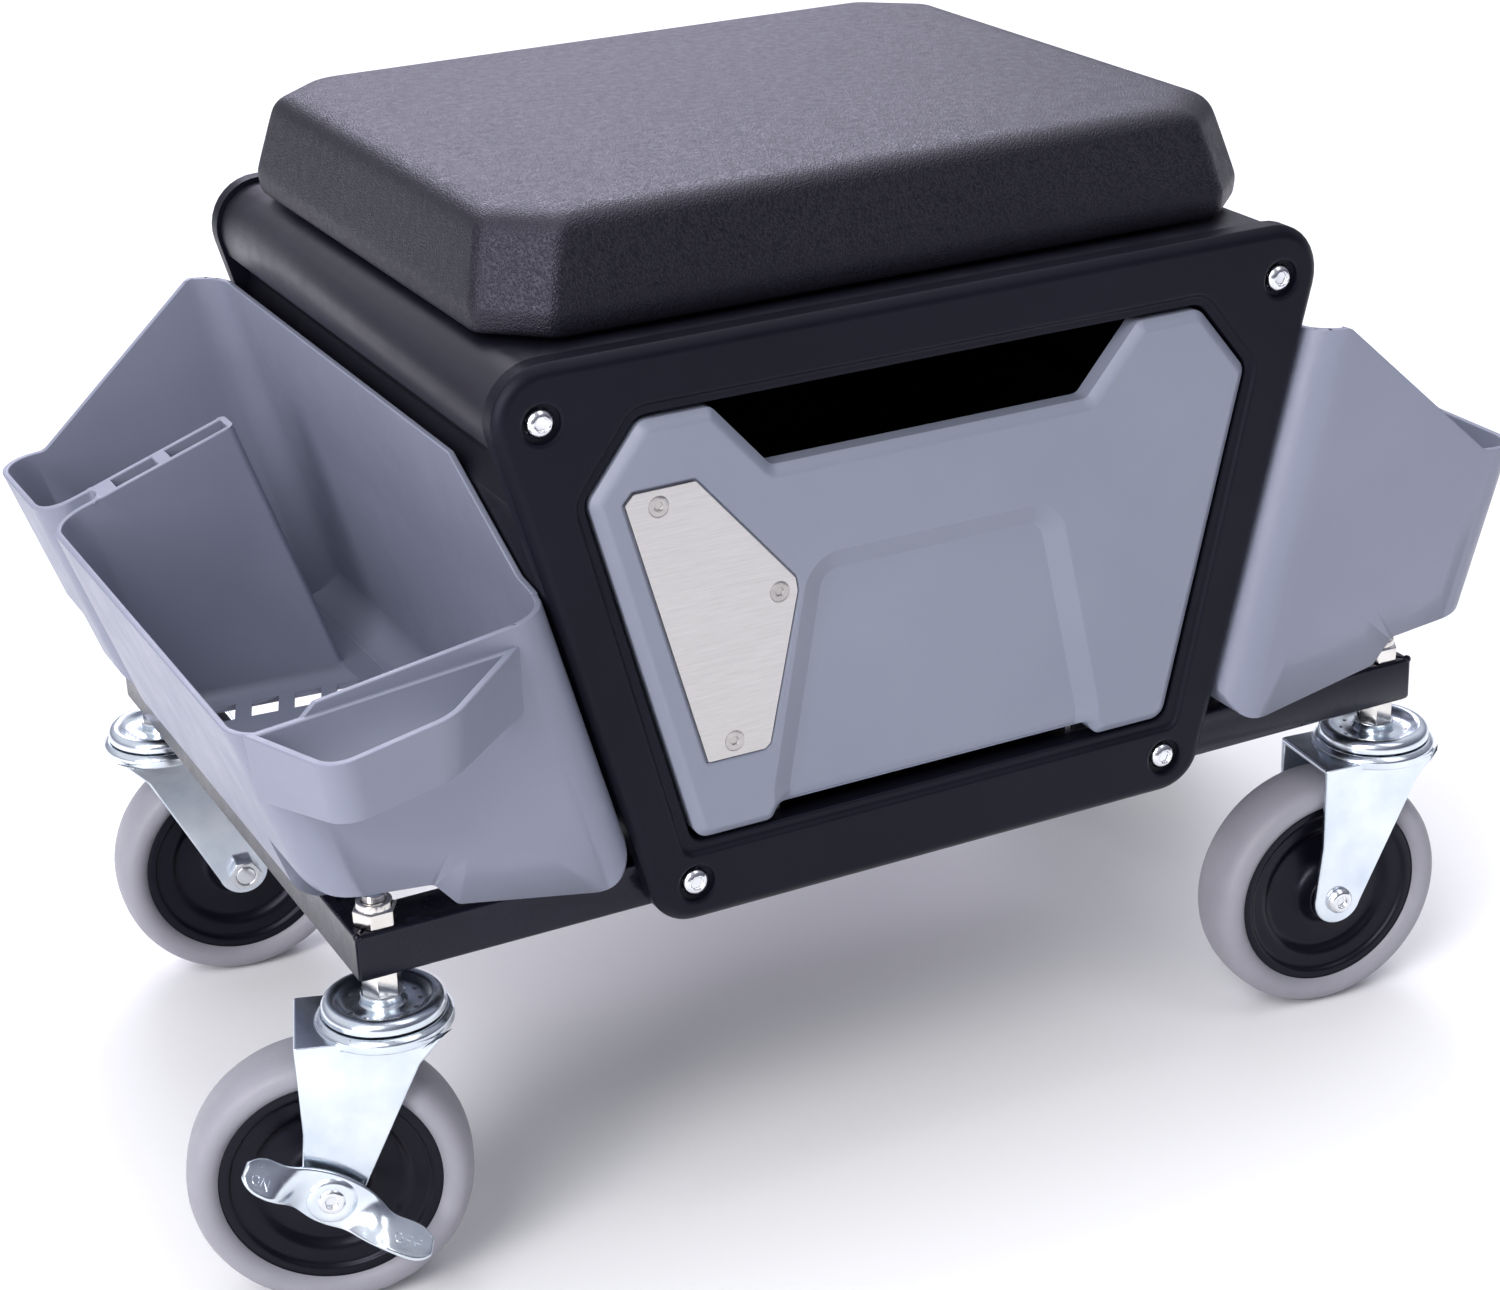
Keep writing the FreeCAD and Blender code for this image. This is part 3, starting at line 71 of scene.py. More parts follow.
class Nodes:
    """Short hand for building a node material in object coordinates."""

    def __init__(self, name):
        self.mat = bpy.data.materials.new(name)
        self.mat.use_nodes = True
        self.tree = self.mat.node_tree
        self.bsdf = self.tree.nodes["Principled BSDF"]
        self.coord = self.tree.nodes.new("ShaderNodeTexCoord").outputs["Object"]

    def add(self, kind, **values):
        """A new node, its inputs or settings given by name."""
        node = self.tree.nodes.new(kind)
        for key, value in values.items():
            if key in node.inputs:
                node.inputs[key].default_value = value
            else:
                setattr(node, key, value)
        return node

    def link(self, a, b):
        self.tree.links.new(a, b)

    def scaled(self, scale):
        """The coordinates stretched along each axis."""
        node = self.add("ShaderNodeMapping")
        node.inputs["Scale"].default_value = scale
        self.link(self.coord, node.inputs["Vector"])
        return node.outputs["Vector"]

    def noise(self, scale, detail, rough, vector=None):
        node = self.add("ShaderNodeTexNoise", Scale=scale, Detail=detail, Roughness=rough)
        self.link(vector or self.coord, node.inputs["Vector"])
        return node.outputs["Fac"]

    def ramp(self, fac, stops):
        """A ramp between two stops, each a position with a colour or a grey value."""
        node = self.add("ShaderNodeValToRGB")
        for end, (at, value) in zip(node.color_ramp.elements, stops):
            end.position = at
            end.color = (*value, 1) if isinstance(value, tuple) else (value, value, value, 1)
        self.link(fac, node.inputs["Fac"])
        return node.outputs["Color"]

    def bump(self, height, strength, distance, below=None):
        node = self.add("ShaderNodeBump", Strength=strength, Distance=distance)
        self.link(height, node.inputs["Height"])
        if below:
            self.link(below, node.inputs["Normal"])
        return node.outputs["Normal"]

    def done(self, colour, rough=None, normal=None, **values):
        """Wires the shader up, sets its other inputs and gives the material."""
        for socket, source in (("Base Color", colour), ("Roughness", rough), ("Normal", normal)):
            if source is not None:
                self.link(source, self.bsdf.inputs[socket])
        for key, value in values.items():
            self.bsdf.inputs[key.replace("_", " ")].default_value = value
        return self.mat


WHITE = (1, 1, 1, 1)
NIGHT = (0.80, 0.80, 1.0, 1)
DUSK = (0.90, 0.88, 1.0, 1)
VIOLET = (0.80, 0.77, 1.0, 1)


def moulded(name, low, high, rough, grain, strength, specular=0.5, tint=WHITE):
    """Injection-moulded plastic: slight tone drift, fine surface texture, soft sheen."""
    n = Nodes(name)
    drift = n.noise(scale=9.0, detail=3.0, rough=0.55)
    colour = n.ramp(drift, [(0.3, low), (0.7, high)])
    gloss = n.noise(scale=60.0, detail=4.0, rough=0.6)
    sheen = n.ramp(gloss, [(0.3, rough[0]), (0.7, rough[1])])
    fine = n.bump(n.noise(grain, 3.0, 0.6), strength, distance=0.0002)
    swell = n.noise(scale=14.0, detail=2.0, rough=0.5)
    wave = n.bump(swell, strength=0.035, distance=0.002, below=fine)
    return n.done(colour, sheen, wave, Specular_IOR_Level=specular, Specular_Tint=tint)


def plated(name, low, high, rough):
    """Bright plating over formed steel: faint colour clouds, small waves, fine handling marks."""
    n = Nodes(name)
    cloud = n.noise(scale=45.0, detail=4.0, rough=0.6)
    colour = n.ramp(cloud, [(0.3, low), (0.72, high)])
    gloss = n.noise(scale=220.0, detail=4.0, rough=0.7)
    sheen = n.ramp(gloss, [(0.3, rough[0]), (0.75, rough[1])])
    handled = n.noise(scale=8.0, detail=5.0, rough=0.7, vector=n.scaled((60.0, 60.0, 60.0)))
    marks = n.bump(handled, strength=0.05, distance=0.0004)
    swell = n.noise(scale=30.0, detail=1.0, rough=0.5)
    wave = n.bump(swell, strength=0.10, distance=0.002, below=marks)
    return n.done(colour, sheen, wave, Metallic=1.0)


def brushed(name, low, high, along):
    """Brushed stainless sheet: long fine lines along one direction."""
    n = Nodes(name)
    lines = n.noise(scale=1.0, detail=6.0, rough=0.7, vector=n.scaled(along))
    colour = n.ramp(lines, [(0.25, low), (0.75, high)])
    sheen = n.ramp(lines, [(0.2, 0.26), (0.8, 0.42)])
    fine = n.bump(lines, strength=0.16, distance=0.0002)
    return n.done(colour, sheen, fine, Metallic=1.0, Anisotropic=0.5)


def seat_skin(name):
    """Black skin with a fine leather grain of small rounded cells."""
    n = Nodes(name)
    cells = n.add("ShaderNodeTexVoronoi", feature="F1", Scale=1250.0, Randomness=1.0)
    n.link(n.coord, cells.inputs["Vector"])
    domes = n.ramp(cells.outputs["Distance"], [(0.0, 1.0), (0.62, 0.0)])
    drift = n.noise(scale=11.0, detail=3.0, rough=0.6)
    colour = n.ramp(drift, [(0.3, (0.0050, 0.0050, 0.0080)), (0.7, (0.0080, 0.0080, 0.0120))])
    mottled = n.add("ShaderNodeMix", data_type="RGBA", blend_type="MULTIPLY")
    factor, base, blend = (mottled.inputs[k] for k in (0, 6, 7))
    factor.default_value = 0.55
    n.link(colour, base)
    n.link(n.ramp(cells.outputs["Distance"], [(0.1, 1.0), (0.7, 0.35)]), blend)
    gloss = n.noise(scale=300.0, detail=4.0, rough=0.7)
    sheen = n.ramp(gloss, [(0.3, 0.36), (0.7, 0.52)])
    grain = n.bump(domes, strength=0.8, distance=0.00022)
    swell = n.noise(scale=16.0, detail=2.0, rough=0.5)
    wave = n.bump(swell, strength=0.05, distance=0.002, below=grain)
    return n.done(mottled.outputs[2], sheen, wave, Specular_IOR_Level=0.47, Specular_Tint=VIOLET)


def rubber(name, low, high):
    """Soft grey tread compound with a dusty sheen and a fine matt surface."""
    n = Nodes(name)
    colour = n.ramp(n.noise(scale=30.0, detail=4.0, rough=0.6), [(0.3, low), (0.7, high)])
    gloss = n.noise(scale=180.0, detail=4.0, rough=0.7)
    sheen = n.ramp(gloss, [(0.3, 0.42), (0.7, 0.58)])
    matt = n.noise(scale=1400.0, detail=2.0, rough=0.6)
    fine = n.bump(matt, strength=0.10, distance=0.0001)
    return n.done(colour, sheen, fine, Specular_IOR_Level=0.45)


def painted(name, low, high):
    """Satin black paint on steel tube with light orange peel."""
    n = Nodes(name)
    colour = n.ramp(n.noise(scale=25.0, detail=3.0, rough=0.6), [(0.3, low), (0.7, high)])
    gloss = n.noise(scale=120.0, detail=3.0, rough=0.6)
    sheen = n.ramp(gloss, [(0.3, 0.24), (0.7, 0.34)])
    skin = n.noise(scale=420.0, detail=2.0, rough=0.5)
    peel = n.bump(skin, strength=0.08, distance=0.0003)
    return n.done(colour, sheen, peel, Specular_IOR_Level=0.26, Specular_Tint=NIGHT,
                  Coat_Weight=0.1, Coat_Roughness=0.12)


M_FRAME = painted("frame_paint", (0.003, 0.003, 0.0075), (0.005, 0.005, 0.0120))
M_BLACK = moulded("black_moulding", (0.0040, 0.0040, 0.0080), (0.0060, 0.0060, 0.0115),
                  rough=(0.36, 0.46), grain=1100.0, strength=0.10, specular=0.15, tint=NIGHT)
M_COVER = moulded("cover_moulding", (0.0045, 0.0045, 0.0085), (0.0070, 0.0070, 0.0130),
                  rough=(0.34, 0.44), grain=1100.0, strength=0.10, specular=0.55, tint=DUSK)
M_PANEL = moulded("black_panel", (0.003, 0.003, 0.006), (0.005, 0.005, 0.009),
                  rough=(0.42, 0.55), grain=1000.0, strength=0.10, specular=0.2, tint=NIGHT)
M_SEAT = seat_skin("seat_skin")
M_GREY = moulded("grey_moulding", (0.194, 0.213, 0.277), (0.214, 0.233, 0.298),
                 rough=(0.36, 0.47), grain=1000.0, strength=0.08)
M_BIN = moulded("bin_moulding", (0.198, 0.213, 0.282), (0.219, 0.234, 0.305),
                rough=(0.34, 0.46), grain=1000.0, strength=0.08)
M_TRAY = moulded("tray_moulding", (0.003, 0.003, 0.005), (0.005, 0.005, 0.008),
                 rough=(0.4, 0.55), grain=900.0, strength=0.12, specular=0.3)
M_TRIM = brushed("brushed_trim", (0.44, 0.425, 0.425), (0.58, 0.56, 0.56), (90.0, 90.0, 2400.0))
M_SCREW = plated("bright_screws", (0.66, 0.67, 0.70), (0.82, 0.83, 0.86), (0.14, 0.26))
M_RIVET = plated("trim_screw_steel", (0.36, 0.34, 0.335), (0.50, 0.48, 0.47), (0.2, 0.32))
M_NUT = plated("nickel_nuts", (0.66, 0.635, 0.60), (0.82, 0.80, 0.77), (0.14, 0.26))
M_ZINC = plated("blue_zinc", (0.60, 0.67, 0.75), (0.80, 0.85, 0.90), (0.16, 0.28))
M_STEEL = plated("plain_steel", (0.42, 0.42, 0.44), (0.55, 0.55, 0.57), (0.26, 0.4))
M_BUSH = moulded("bush_moulding", (0.55, 0.54, 0.50), (0.62, 0.61, 0.57),
                 rough=(0.3, 0.4), grain=900.0, strength=0.05)
M_HUB = moulded("hub_moulding", (0.0025, 0.0025, 0.005), (0.004, 0.004, 0.008),
                rough=(0.26, 0.36), grain=900.0, strength=0.08, specular=0.22, tint=NIGHT)
M_TYRE = rubber("tread_compound", (0.256, 0.253, 0.288), (0.294, 0.290, 0.330))

LOOK_OF_SLOT = {
    "black_frame": M_FRAME, "black_plastic": M_BLACK, "seat_skin": M_SEAT,
    "board_plastic": M_PANEL, "grey_plastic": M_GREY, "tray_plastic": M_TRAY,
    "brushed_plate": M_TRIM, "bright_screws": M_SCREW, "bar_steel": M_STEEL,
    "runner_steel": M_STEEL, "bright_nuts": M_NUT, "zinc_steel": M_ZINC,
    "ball_steel": M_STEEL, "bush_plastic": M_BUSH, "hub_plastic": M_HUB,
    "grey_tyre": M_TYRE, "pedal_steel": M_ZINC}
LOOK_OF_NODE = {
    "left_bin": M_BIN, "right_bin": M_BIN, "top_cover": M_COVER, "trim_screws": M_RIVET,
    "floor_pan": M_PANEL, "left_side_panel": M_PANEL, "right_side_panel": M_PANEL}

for name, node in NODES.items():
    node.data.materials.clear()
    node.data.materials.append(LOOK_OF_NODE.get(name, LOOK_OF_SLOT[SLOT_OF[name]]))


# Mesh helpers

def new_object(name, mesh, look, node=None, body=None):
    """Links a mesh as a piece that rides on a body and can stand for a CAD node."""
    obj = bpy.data.objects.new(name, mesh)
    bpy.context.scene.collection.objects.link(obj)
    mesh.materials.clear()
    mesh.materials.append(look)
    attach(obj, body or BODY_OF[node])
    if node:
        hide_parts(node)
    return obj


def smooth(mesh, angle):
    """Smooth shading, with edges sharper than an angle in degrees kept sharp."""
    mesh.shade_smooth()
    mesh.set_sharp_from_angle(angle=math.radians(angle))


def bake_modifiers(obj):
    """Applies an object's modifiers to its mesh."""
    graph = bpy.context.evaluated_depsgraph_get()
    baked = bpy.data.meshes.new_from_object(obj.evaluated_get(graph), depsgraph=graph)
    obj.modifiers.clear()
    obj.data = baked


def finished(bm, name, placing=None):
    """A mesh from a bmesh: its faces turned outward, then moved by a matrix if one is given."""
    bmesh.ops.recalc_face_normals(bm, faces=bm.faces)
    if placing is not None:
        bm.transform(placing)
    mesh = bpy.data.meshes.new(name)
    bm.to_mesh(mesh)
    bm.free()
    return mesh


def every_edge(edge):
    return True


def room(edge, width, along=0.85, share=0.45):
    """How much of a rounding's width an edge can take beside the short edges that meet it.

    Edges that run on in its line are passed over, by the cosine along, and no other one gives
    up more than a share of its length.
    """
    least = 1.0
    line = (edge.verts[1].co - edge.verts[0].co).normalized()
    for v in edge.verts:
        for other in v.link_edges:
            if other is edge:
                continue
            way = other.verts[1].co - other.verts[0].co
            if abs(way.normalized().dot(line)) < along:
                least = min(least, share * way.length / width)
    return least


WELD_GAP = 2e-6
FLAT_ANGLE = 0.4
SMOOTH_ANGLE = 32.0


def dressed(node, width, segments, angle=28.0, pick=None, reshape=None):
    """A copy of a CAD solid with welded faces and rounded edges, in place of the node.

    With pick, only the edges that it picks are rounded, as far as their neighbours leave room,
    and reshape can then move the points.
    """
    mesh = NODES[node].data.copy()
    bm = bmesh.new()
    bm.from_mesh(mesh)
    bmesh.ops.remove_doubles(bm, verts=bm.verts, dist=WELD_GAP)
    if pick:
        layer = bm.edges.layers.float.new("bevel_weight_edge")
        for e in bm.edges:
            if len(e.link_faces) == 2 and e.calc_face_angle() > math.radians(angle) and pick(e):
                e[layer] = room(e, width)
    else:
        bmesh.ops.dissolve_limit(bm, angle_limit=math.radians(FLAT_ANGLE), verts=bm.verts,
                                 edges=bm.edges)
    bm.to_mesh(mesh)
    bm.free()
    mesh.shade_smooth()
    obj = new_object(node + "_piece", mesh, NODES[node].data.materials[0], node)
    bevel = obj.modifiers.new("round", "BEVEL")
    bevel.width = width
    bevel.segments = segments
    bevel.limit_method = "WEIGHT" if pick else "ANGLE"
    bevel.angle_limit = math.radians(angle)
    bevel.use_clamp_overlap = False
    bevel.miter_outer = "MITER_SHARP" if pick else "MITER_ARC"
    bevel.loop_slide = not pick
    bevel.harden_normals = not pick
    bake_modifiers(obj)
    if pick:
        smooth(obj.data, SMOOTH_ANGLE)
        even = obj.modifiers.new("even", "WEIGHTED_NORMAL")
        even.keep_sharp = True
        bake_modifiers(obj)
    if reshape:
        for v in obj.data.vertices:
            v.co = reshape(v.co)


def lathe(points, centre, axis, steps):
    """A mesh turned from (radius, height) points in mm round an axis through centre."""
    bm = bmesh.new()
    rings = []
    for r, h in points:
        r, h = r * MM, h * MM
        if r == 0:
            rings.append([bm.verts.new((0, 0, h))])
        else:
            angles = [2 * math.pi * k / steps for k in range(steps)]
            rings.append([bm.verts.new((r * math.cos(a), r * math.sin(a), h)) for a in angles])
    for a, b in zip(rings, rings[1:]):
        for k in range(steps):
            j = (k + 1) % steps
            if len(a) == 1:
                bm.faces.new((a[0], b[j], b[k]))
            elif len(b) == 1:
                bm.faces.new((a[k], a[j], b[0]))
            else:
                bm.faces.new((a[k], a[j], b[j], b[k]))
    turn = Vector((0, 0, 1)).rotation_difference(Vector(axis)).to_matrix().to_4x4()
    mesh = finished(bm, "turned", Matrix.Translation(centre) @ turn)
    smooth(mesh, SMOOTH_ANGLE)
    return mesh


def arc(cx, cz, r, start, end, count):
    """Points of a round edge in a profile, angles in degrees."""
    angles = [math.radians(start + (end - start) * k / count) for k in range(count + 1)]
    return [(cx + r * math.cos(a), cz + r * math.sin(a)) for a in angles]


def caster_point(name, t, y, z):
    """A point given along a caster's trail, across it and up, in the shared frame."""
    a = YAW[name]
    x0, y0 = STEM[name]
    return Vector((x0 + t * math.cos(a) - y * math.sin(a),
                   y0 + t * math.sin(a) + y * math.cos(a), z))


# Seat

# Half length, half width, height and corner radius in mm of each level from the foot up.
SEAT_LEVELS = [
    (146.0, 124.2, 335.6, 7.0), (149.4, 127.6, 334.9, 7.5), (150.9, 129.1, 335.4, 8.0),
    (151.7, 129.9, 336.8, 8.0), (152.1, 130.3, 339.5, 8.0), (152.3, 130.5, 342.5, 8.0),
    (152.3, 130.5, 344.1, 8.0), (152.0, 130.2, 345.6, 8.0), (151.1, 129.3, 349.2, 8.0),
    (150.0, 128.2, 353.4, 8.0), (148.9, 127.1, 357.6, 8.0), (147.8, 126.0, 361.8, 8.0),
    (146.9, 125.1, 365.2, 8.2), (146.2, 124.4, 367.8, 8.4), (145.3, 123.5, 370.0, 8.6),
    (143.9, 122.1, 372.0, 8.8), (141.9, 120.1, 373.5, 9.0), (139.3, 117.5, 374.5, 9.0),
    (135.8, 114.0, 375.2, 8.8)]
SEAT_CUT_X, SEAT_CUT_Y = 20.8, 20.6
SEAT_CENTRE = Vector((0.0016, 0.0038, 0))
SEAT_CROWN = 0.0012
SEAT_CROWN_POWER = 2.2
SEAT_TOP_SHARES = (0.94, 0.86, 0.74, 0.6, 0.45, 0.3, 0.15)
SEAT_FOOT_Z = 0.3380
SIDE_POINTS = [26, 4, 30, 4, 26, 4, 30, 4]
CORNER_STEPS = 5


def ring_points(hx, hy, radius, z):
    """One level of the seat: an eight-sided outline with rounded corners as a row of points."""
    cut_x, cut_y = SEAT_CUT_X * MM, SEAT_CUT_Y * MM
    corners = [(hx, -hy + cut_y), (hx, hy - cut_y), (hx - cut_x, hy), (-hx + cut_x, hy),
               (-hx, hy - cut_y), (-hx, -hy + cut_y), (-hx + cut_x, -hy), (hx - cut_x, -hy)]
    arcs = []
    for i, corner in enumerate(corners):
        here = Vector(corner)
        u = (Vector(corners[i - 1]) - here).normalized()
        w = (Vector(corners[(i + 1) % 8]) - here).normalized()
        half = math.acos(max(-1.0, min(1.0, u.dot(w)))) / 2
        cut = radius / math.tan(half)
        centre = here + (u + w).normalized() * (radius / math.sin(half))
        a = here + u * cut - centre
        b = here + w * cut - centre
        sweep = a.angle_signed(b)
        arcs.append([centre + Matrix.Rotation(-sweep * k / CORNER_STEPS, 2) @ a
                     for k in range(CORNER_STEPS + 1)])
    points = []
    for i, count in enumerate(SIDE_POINTS):
        points += arcs[i]
        end, following = arcs[i][-1], arcs[(i + 1) % 8][0]
        points += [end.lerp(following, (k + 1) / (count + 1)) for k in range(count)]
    return [Vector((p.x, p.y, z)) for p in points]


def seat():
    """The moulded seat: rolled foot, widest line low down, leaning facets, crowned top."""
    bm = bmesh.new()
    rings = []
    for hx, hy, z, radius in SEAT_LEVELS:
        ring = ring_points(hx * MM, hy * MM, radius * MM, z * MM)
        rings.append([bm.verts.new(p + SEAT_CENTRE) for p in ring])
    top = rings[-1]
    hub = SEAT_CENTRE + Vector((0, 0, top[0].co.z))
    for share in SEAT_TOP_SHARES:
        lift = Vector((0, 0, SEAT_CROWN * (1 - share ** SEAT_CROWN_POWER)))
        rings.append([bm.verts.new((v.co - hub) * share + hub + lift) for v in top])
    for a, b in zip(rings, rings[1:]):
        for k in range(len(a)):
            j = (k + 1) % len(a)
            bm.faces.new((a[k], a[j], b[j], b[k]))
    crown = bm.verts.new(hub + Vector((0, 0, SEAT_CROWN)))
    last = rings[-1]
    for k in range(len(last)):
        bm.faces.new((last[k], last[(k + 1) % len(last)], crown))
    foot = bm.verts.new(SEAT_CENTRE + Vector((0, 0, SEAT_FOOT_Z)))
    first = rings[0]
    for k in range(len(first)):
        bm.faces.new((first[(k + 1) % len(first)], first[k], foot))
    mesh = finished(bm, "seat")
    mesh.shade_smooth()
    obj = new_object("seat_top", mesh, M_SEAT, "seat_pad")
    sub = obj.modifiers.new("soften", "SUBSURF")
    sub.levels = sub.render_levels = 1
    bake_modifiers(obj)
    obj.data.shade_smooth()


# Wheels and casters, as profiles of (radius, height) in mm

def mirrored(half, middle=()):
    """A profile from its upper half, over the middle points and down the other side."""
    return half + list(middle) + [(r, -h) for r, h in reversed(half)]


TYRE_HALF = [(38.9, 10.4), (39.4, 11.2), (40.4, 12.2), (41.8, 13.0), (43.4, 13.35), (45.2, 13.1),
             (46.8, 12.2), (48.1, 10.7), (49.05, 8.7), (49.65, 6.3), (49.93, 3.4)]
HUB_HALF = [(6.3, 14.2), (6.5, 14.4), (10.6, 14.4), (11.0, 14.0), (11.3, 12.4), (12.4, 9.2),
            (14.0, 7.2), (16.0, 6.4), (24.0, 5.9), (25.0, 5.9), (26.2, 6.3), (27.4, 7.5),
            (28.6, 8.3), (30.0, 8.6), (33.0, 8.8), (34.2, 9.0), (34.8, 9.4), (35.2, 10.1),
            (35.6, 10.4), (36.2, 10.55), (38.3, 10.5), (38.9, 10.2)]
STEM_TOP = [(0.0, 156.5), (1.2, 156.4), (2.6, 155.8), (3.6, 154.7), (4.0, 153.4), (4.0, 118.0)]
RACE_DISH = [(7.4, 118.0), (7.8, 117.6), (7.8, 115.2), (8.4, 114.4), (10.5, 113.8), (13.0, 113.9),
             (15.0, 114.7), (16.3, 115.8)]
RACE_UNDER = [(21.8, 112.2), (21.5, 111.8), (21.0, 111.8), (20.2, 113.4), (8.0, 112.6),
              (5.5, 112.0), (5.5, 105.6), (8.6, 105.2), (8.9, 104.4), (7.2, 103.2), (0.0, 103.15)]

TYRE = mirrored(TYRE_HALF, [(50.0, 0.0)])
HUB = mirrored(HUB_HALF) + HUB_HALF[:1]
RACE = STEM_TOP + RACE_DISH + arc(18.4, 113.3, 3.4, 108, 0, 9) + RACE_UNDER

WHEEL_STEPS = 128
RACE_STEPS = 96


def casters():
    """Tyres, hubs, races with their stems, forks and axles of the four casters."""
    for name in CASTERS:
        axis = caster_point(name, 0, 1, 0) - caster_point(name, 0, 0, 0)
        axle = caster_point(name, TRAIL, 0, AXLE_Z)
        tread = lathe(TYRE, axle, axis, WHEEL_STEPS)
        new_object(name + "_tread", tread, M_TYRE, name + "_wheel_tyre")
        hub = lathe(HUB, axle, axis, WHEEL_STEPS)
        new_object(name + "_wheel_centre", hub, M_HUB, name + "_wheel_hub")
        x, y = STEM[name]
        race = lathe(RACE, (x, y, 0), (0, 0, 1), RACE_STEPS)
        new_object(name + "_race", race, M_ZINC, name + "_stem")
        dressed(name + "_fork", 0.9 * MM, 3, pick=every_edge)
        dressed(name + "_axle", 0.45 * MM, 2)
        threads(name, x, y)


THREAD_FROM, THREAD_TO = 153.5, 155.6
THREAD_PITCH = 0.6
THREAD_CORE, THREAD_ROOT, THREAD_CREST = 3.6, 4.02, 4.18


def threads(name, x, y):
    """Fine thread rings on the stem's free end above the top nut."""
    rings = []
    z = THREAD_FROM
    while z < THREAD_TO:
        rings += [(THREAD_ROOT, z), (THREAD_CREST, z + THREAD_PITCH / 2),
                  (THREAD_ROOT, z + THREAD_PITCH)]
        z += THREAD_PITCH
    profile = [(THREAD_CORE, rings[0][1])] + rings + [(THREAD_CORE, rings[-1][1])]
    mesh = lathe(profile, (x, y, 0), (0, 0, 1), 48)
    new_object(name + "_thread", mesh, M_NUT, body="base")


# Brake pedals, in mm round the axle

# Each paddle's angle, tip reach, side, twist in radians and width at its tip.
PADDLES = {"on": (35.5, 34.0, 1, 0.86, 0.92), "off": (211.0, 38.4, -1, 1.12, 1.0)}
# Half width over the share of the reach.
PADDLE_HALF = [(0.0, 10.4), (0.14, 10.0), (0.28, 8.8), (0.42, 7.6), (0.56, 7.4), (0.70, 7.8),
               (0.82, 7.6), (0.90, 6.6), (0.96, 4.9), (1.0, 2.9)]
PADDLE_SHARES = [1.0, 0.96, 0.9, 0.82, 0.73, 0.64, 0.55, 0.46, 0.37, 0.28, 0.2, 0.12]
PADDLE_MARKS = [-1 + k / 5.0 for k in range(11)]
PADDLE_SHEET = 2.0
PADDLE_OUT = {1: 6.2, -1: 7.2}
PADDLE_DISH = 0.8
BEND_FROM, BEND_RUN = 8.0, 15.0
PEDAL_PLANE = 20.9
PEDAL_EYE = [(4.3, 0.4), (4.3, 1.9), (5.6, 2.2), (7.0, 2.2), (7.9, 1.9), (8.6, 1.3), (9.0, 0.8),
             (8.6, 0.4), (4.3, 0.4)]


def paddle_spot(arm, share, w):
    """Trail, outward place and height of a point of a paddle, w from -1 above to 1 below."""
    angle, tip, way, turn, girth = PADDLES[arm]
    ca, sa = math.cos(math.radians(angle)), math.sin(math.radians(angle))
    reach = share * tip
    for (a, ha), (b, hb) in zip(PADDLE_HALF, PADDLE_HALF[1:]):
        if share <= b:
            break
    half = ha + (hb - ha) * (min(share, 1.0) - a) / (b - a)
    k = max(0.0, min(1.0, (reach - BEND_FROM) / BEND_RUN))
    bend = k * k * (3 - 2 * k)
    twist = turn * bend
    across = half * w * (1 + (girth - 1) * bend)
    out = PADDLE_OUT[way] * bend + across * math.sin(twist) - PADDLE_DISH * bend * (1 - w * w)
    side = across * math.cos(twist)
    return Vector((reach * ca + way * sa * side, out, reach * sa - way * ca * side))


def pedal(name):
    """The brake pedal: one pressed strip with an eye round the axle and two twisted paddles."""
    side = -1 if math.cos(YAW[name]) * STEM[name][1] < 0 else 1

    def place(p):
        return caster_point(name, TRAIL + p.x * MM, side * (PEDAL_PLANE + p.y) * MM,
                            AXLE_Z + p.z * MM)

    rows = [[paddle_spot("on", t, w) for w in PADDLE_MARKS] for t in PADDLE_SHARES]
    rows.append([(paddle_spot("on", 0.0, w) + paddle_spot("off", 0.0, w)) / 2
                 for w in PADDLE_MARKS])
    rows += [[paddle_spot("off", t, w) for w in PADDLE_MARKS] for t in reversed(PADDLE_SHARES)]
    bm = bmesh.new()
    grid = [[bm.verts.new(place(p)) for p in row] for row in rows]
    for a, b in zip(grid, grid[1:]):
        for k in range(len(PADDLE_MARKS) - 1):
            bm.faces.new((a[k], a[k + 1], b[k + 1], b[k]))
    mesh = finished(bm, "pedal")
    mesh.shade_smooth()
    obj = new_object(name + "_pedal", mesh, M_ZINC, name + "_brake_pedal")
    solid = obj.modifiers.new("sheet", "SOLIDIFY")
    solid.thickness = PADDLE_SHEET * MM
    solid.offset = 0.0
    sub = obj.modifiers.new("soften", "SUBSURF")
    sub.levels = sub.render_levels = 2
    bake_modifiers(obj)
    obj.data.shade_smooth()
    body = BODY_OF[name + "_brake_pedal"]
    axis = caster_point(name, 0, side, 0) - caster_point(name, 0, 0, 0)
    eye = lathe(PEDAL_EYE, place(Vector((0, 0, 0))), axis, 64)
    new_object(name + "_pedal_eye", eye, M_ZINC, body=body)
    letters(name, place, body)


# Strokes of each letter in mm. "O" is an oval, the others are broken lines.
LETTERS = {
    "O": [[(1.3 + 1.3 * math.sin(k * math.pi / 8), 1.8 - 1.8 * math.cos(k * math.pi / 8))
           for k in range(17)]],
    "N": [[(0, 0), (0, 1.8), (0, 3.6), (1.25, 1.8), (2.5, 0), (2.5, 1.8), (2.5, 3.6)]],
    "F": [[(0, 0), (0, 1.8), (0, 3.6), (1.2, 3.6), (2.3, 3.6)],
          [(0, 1.9), (0.9, 1.9), (1.8, 1.9)]]}
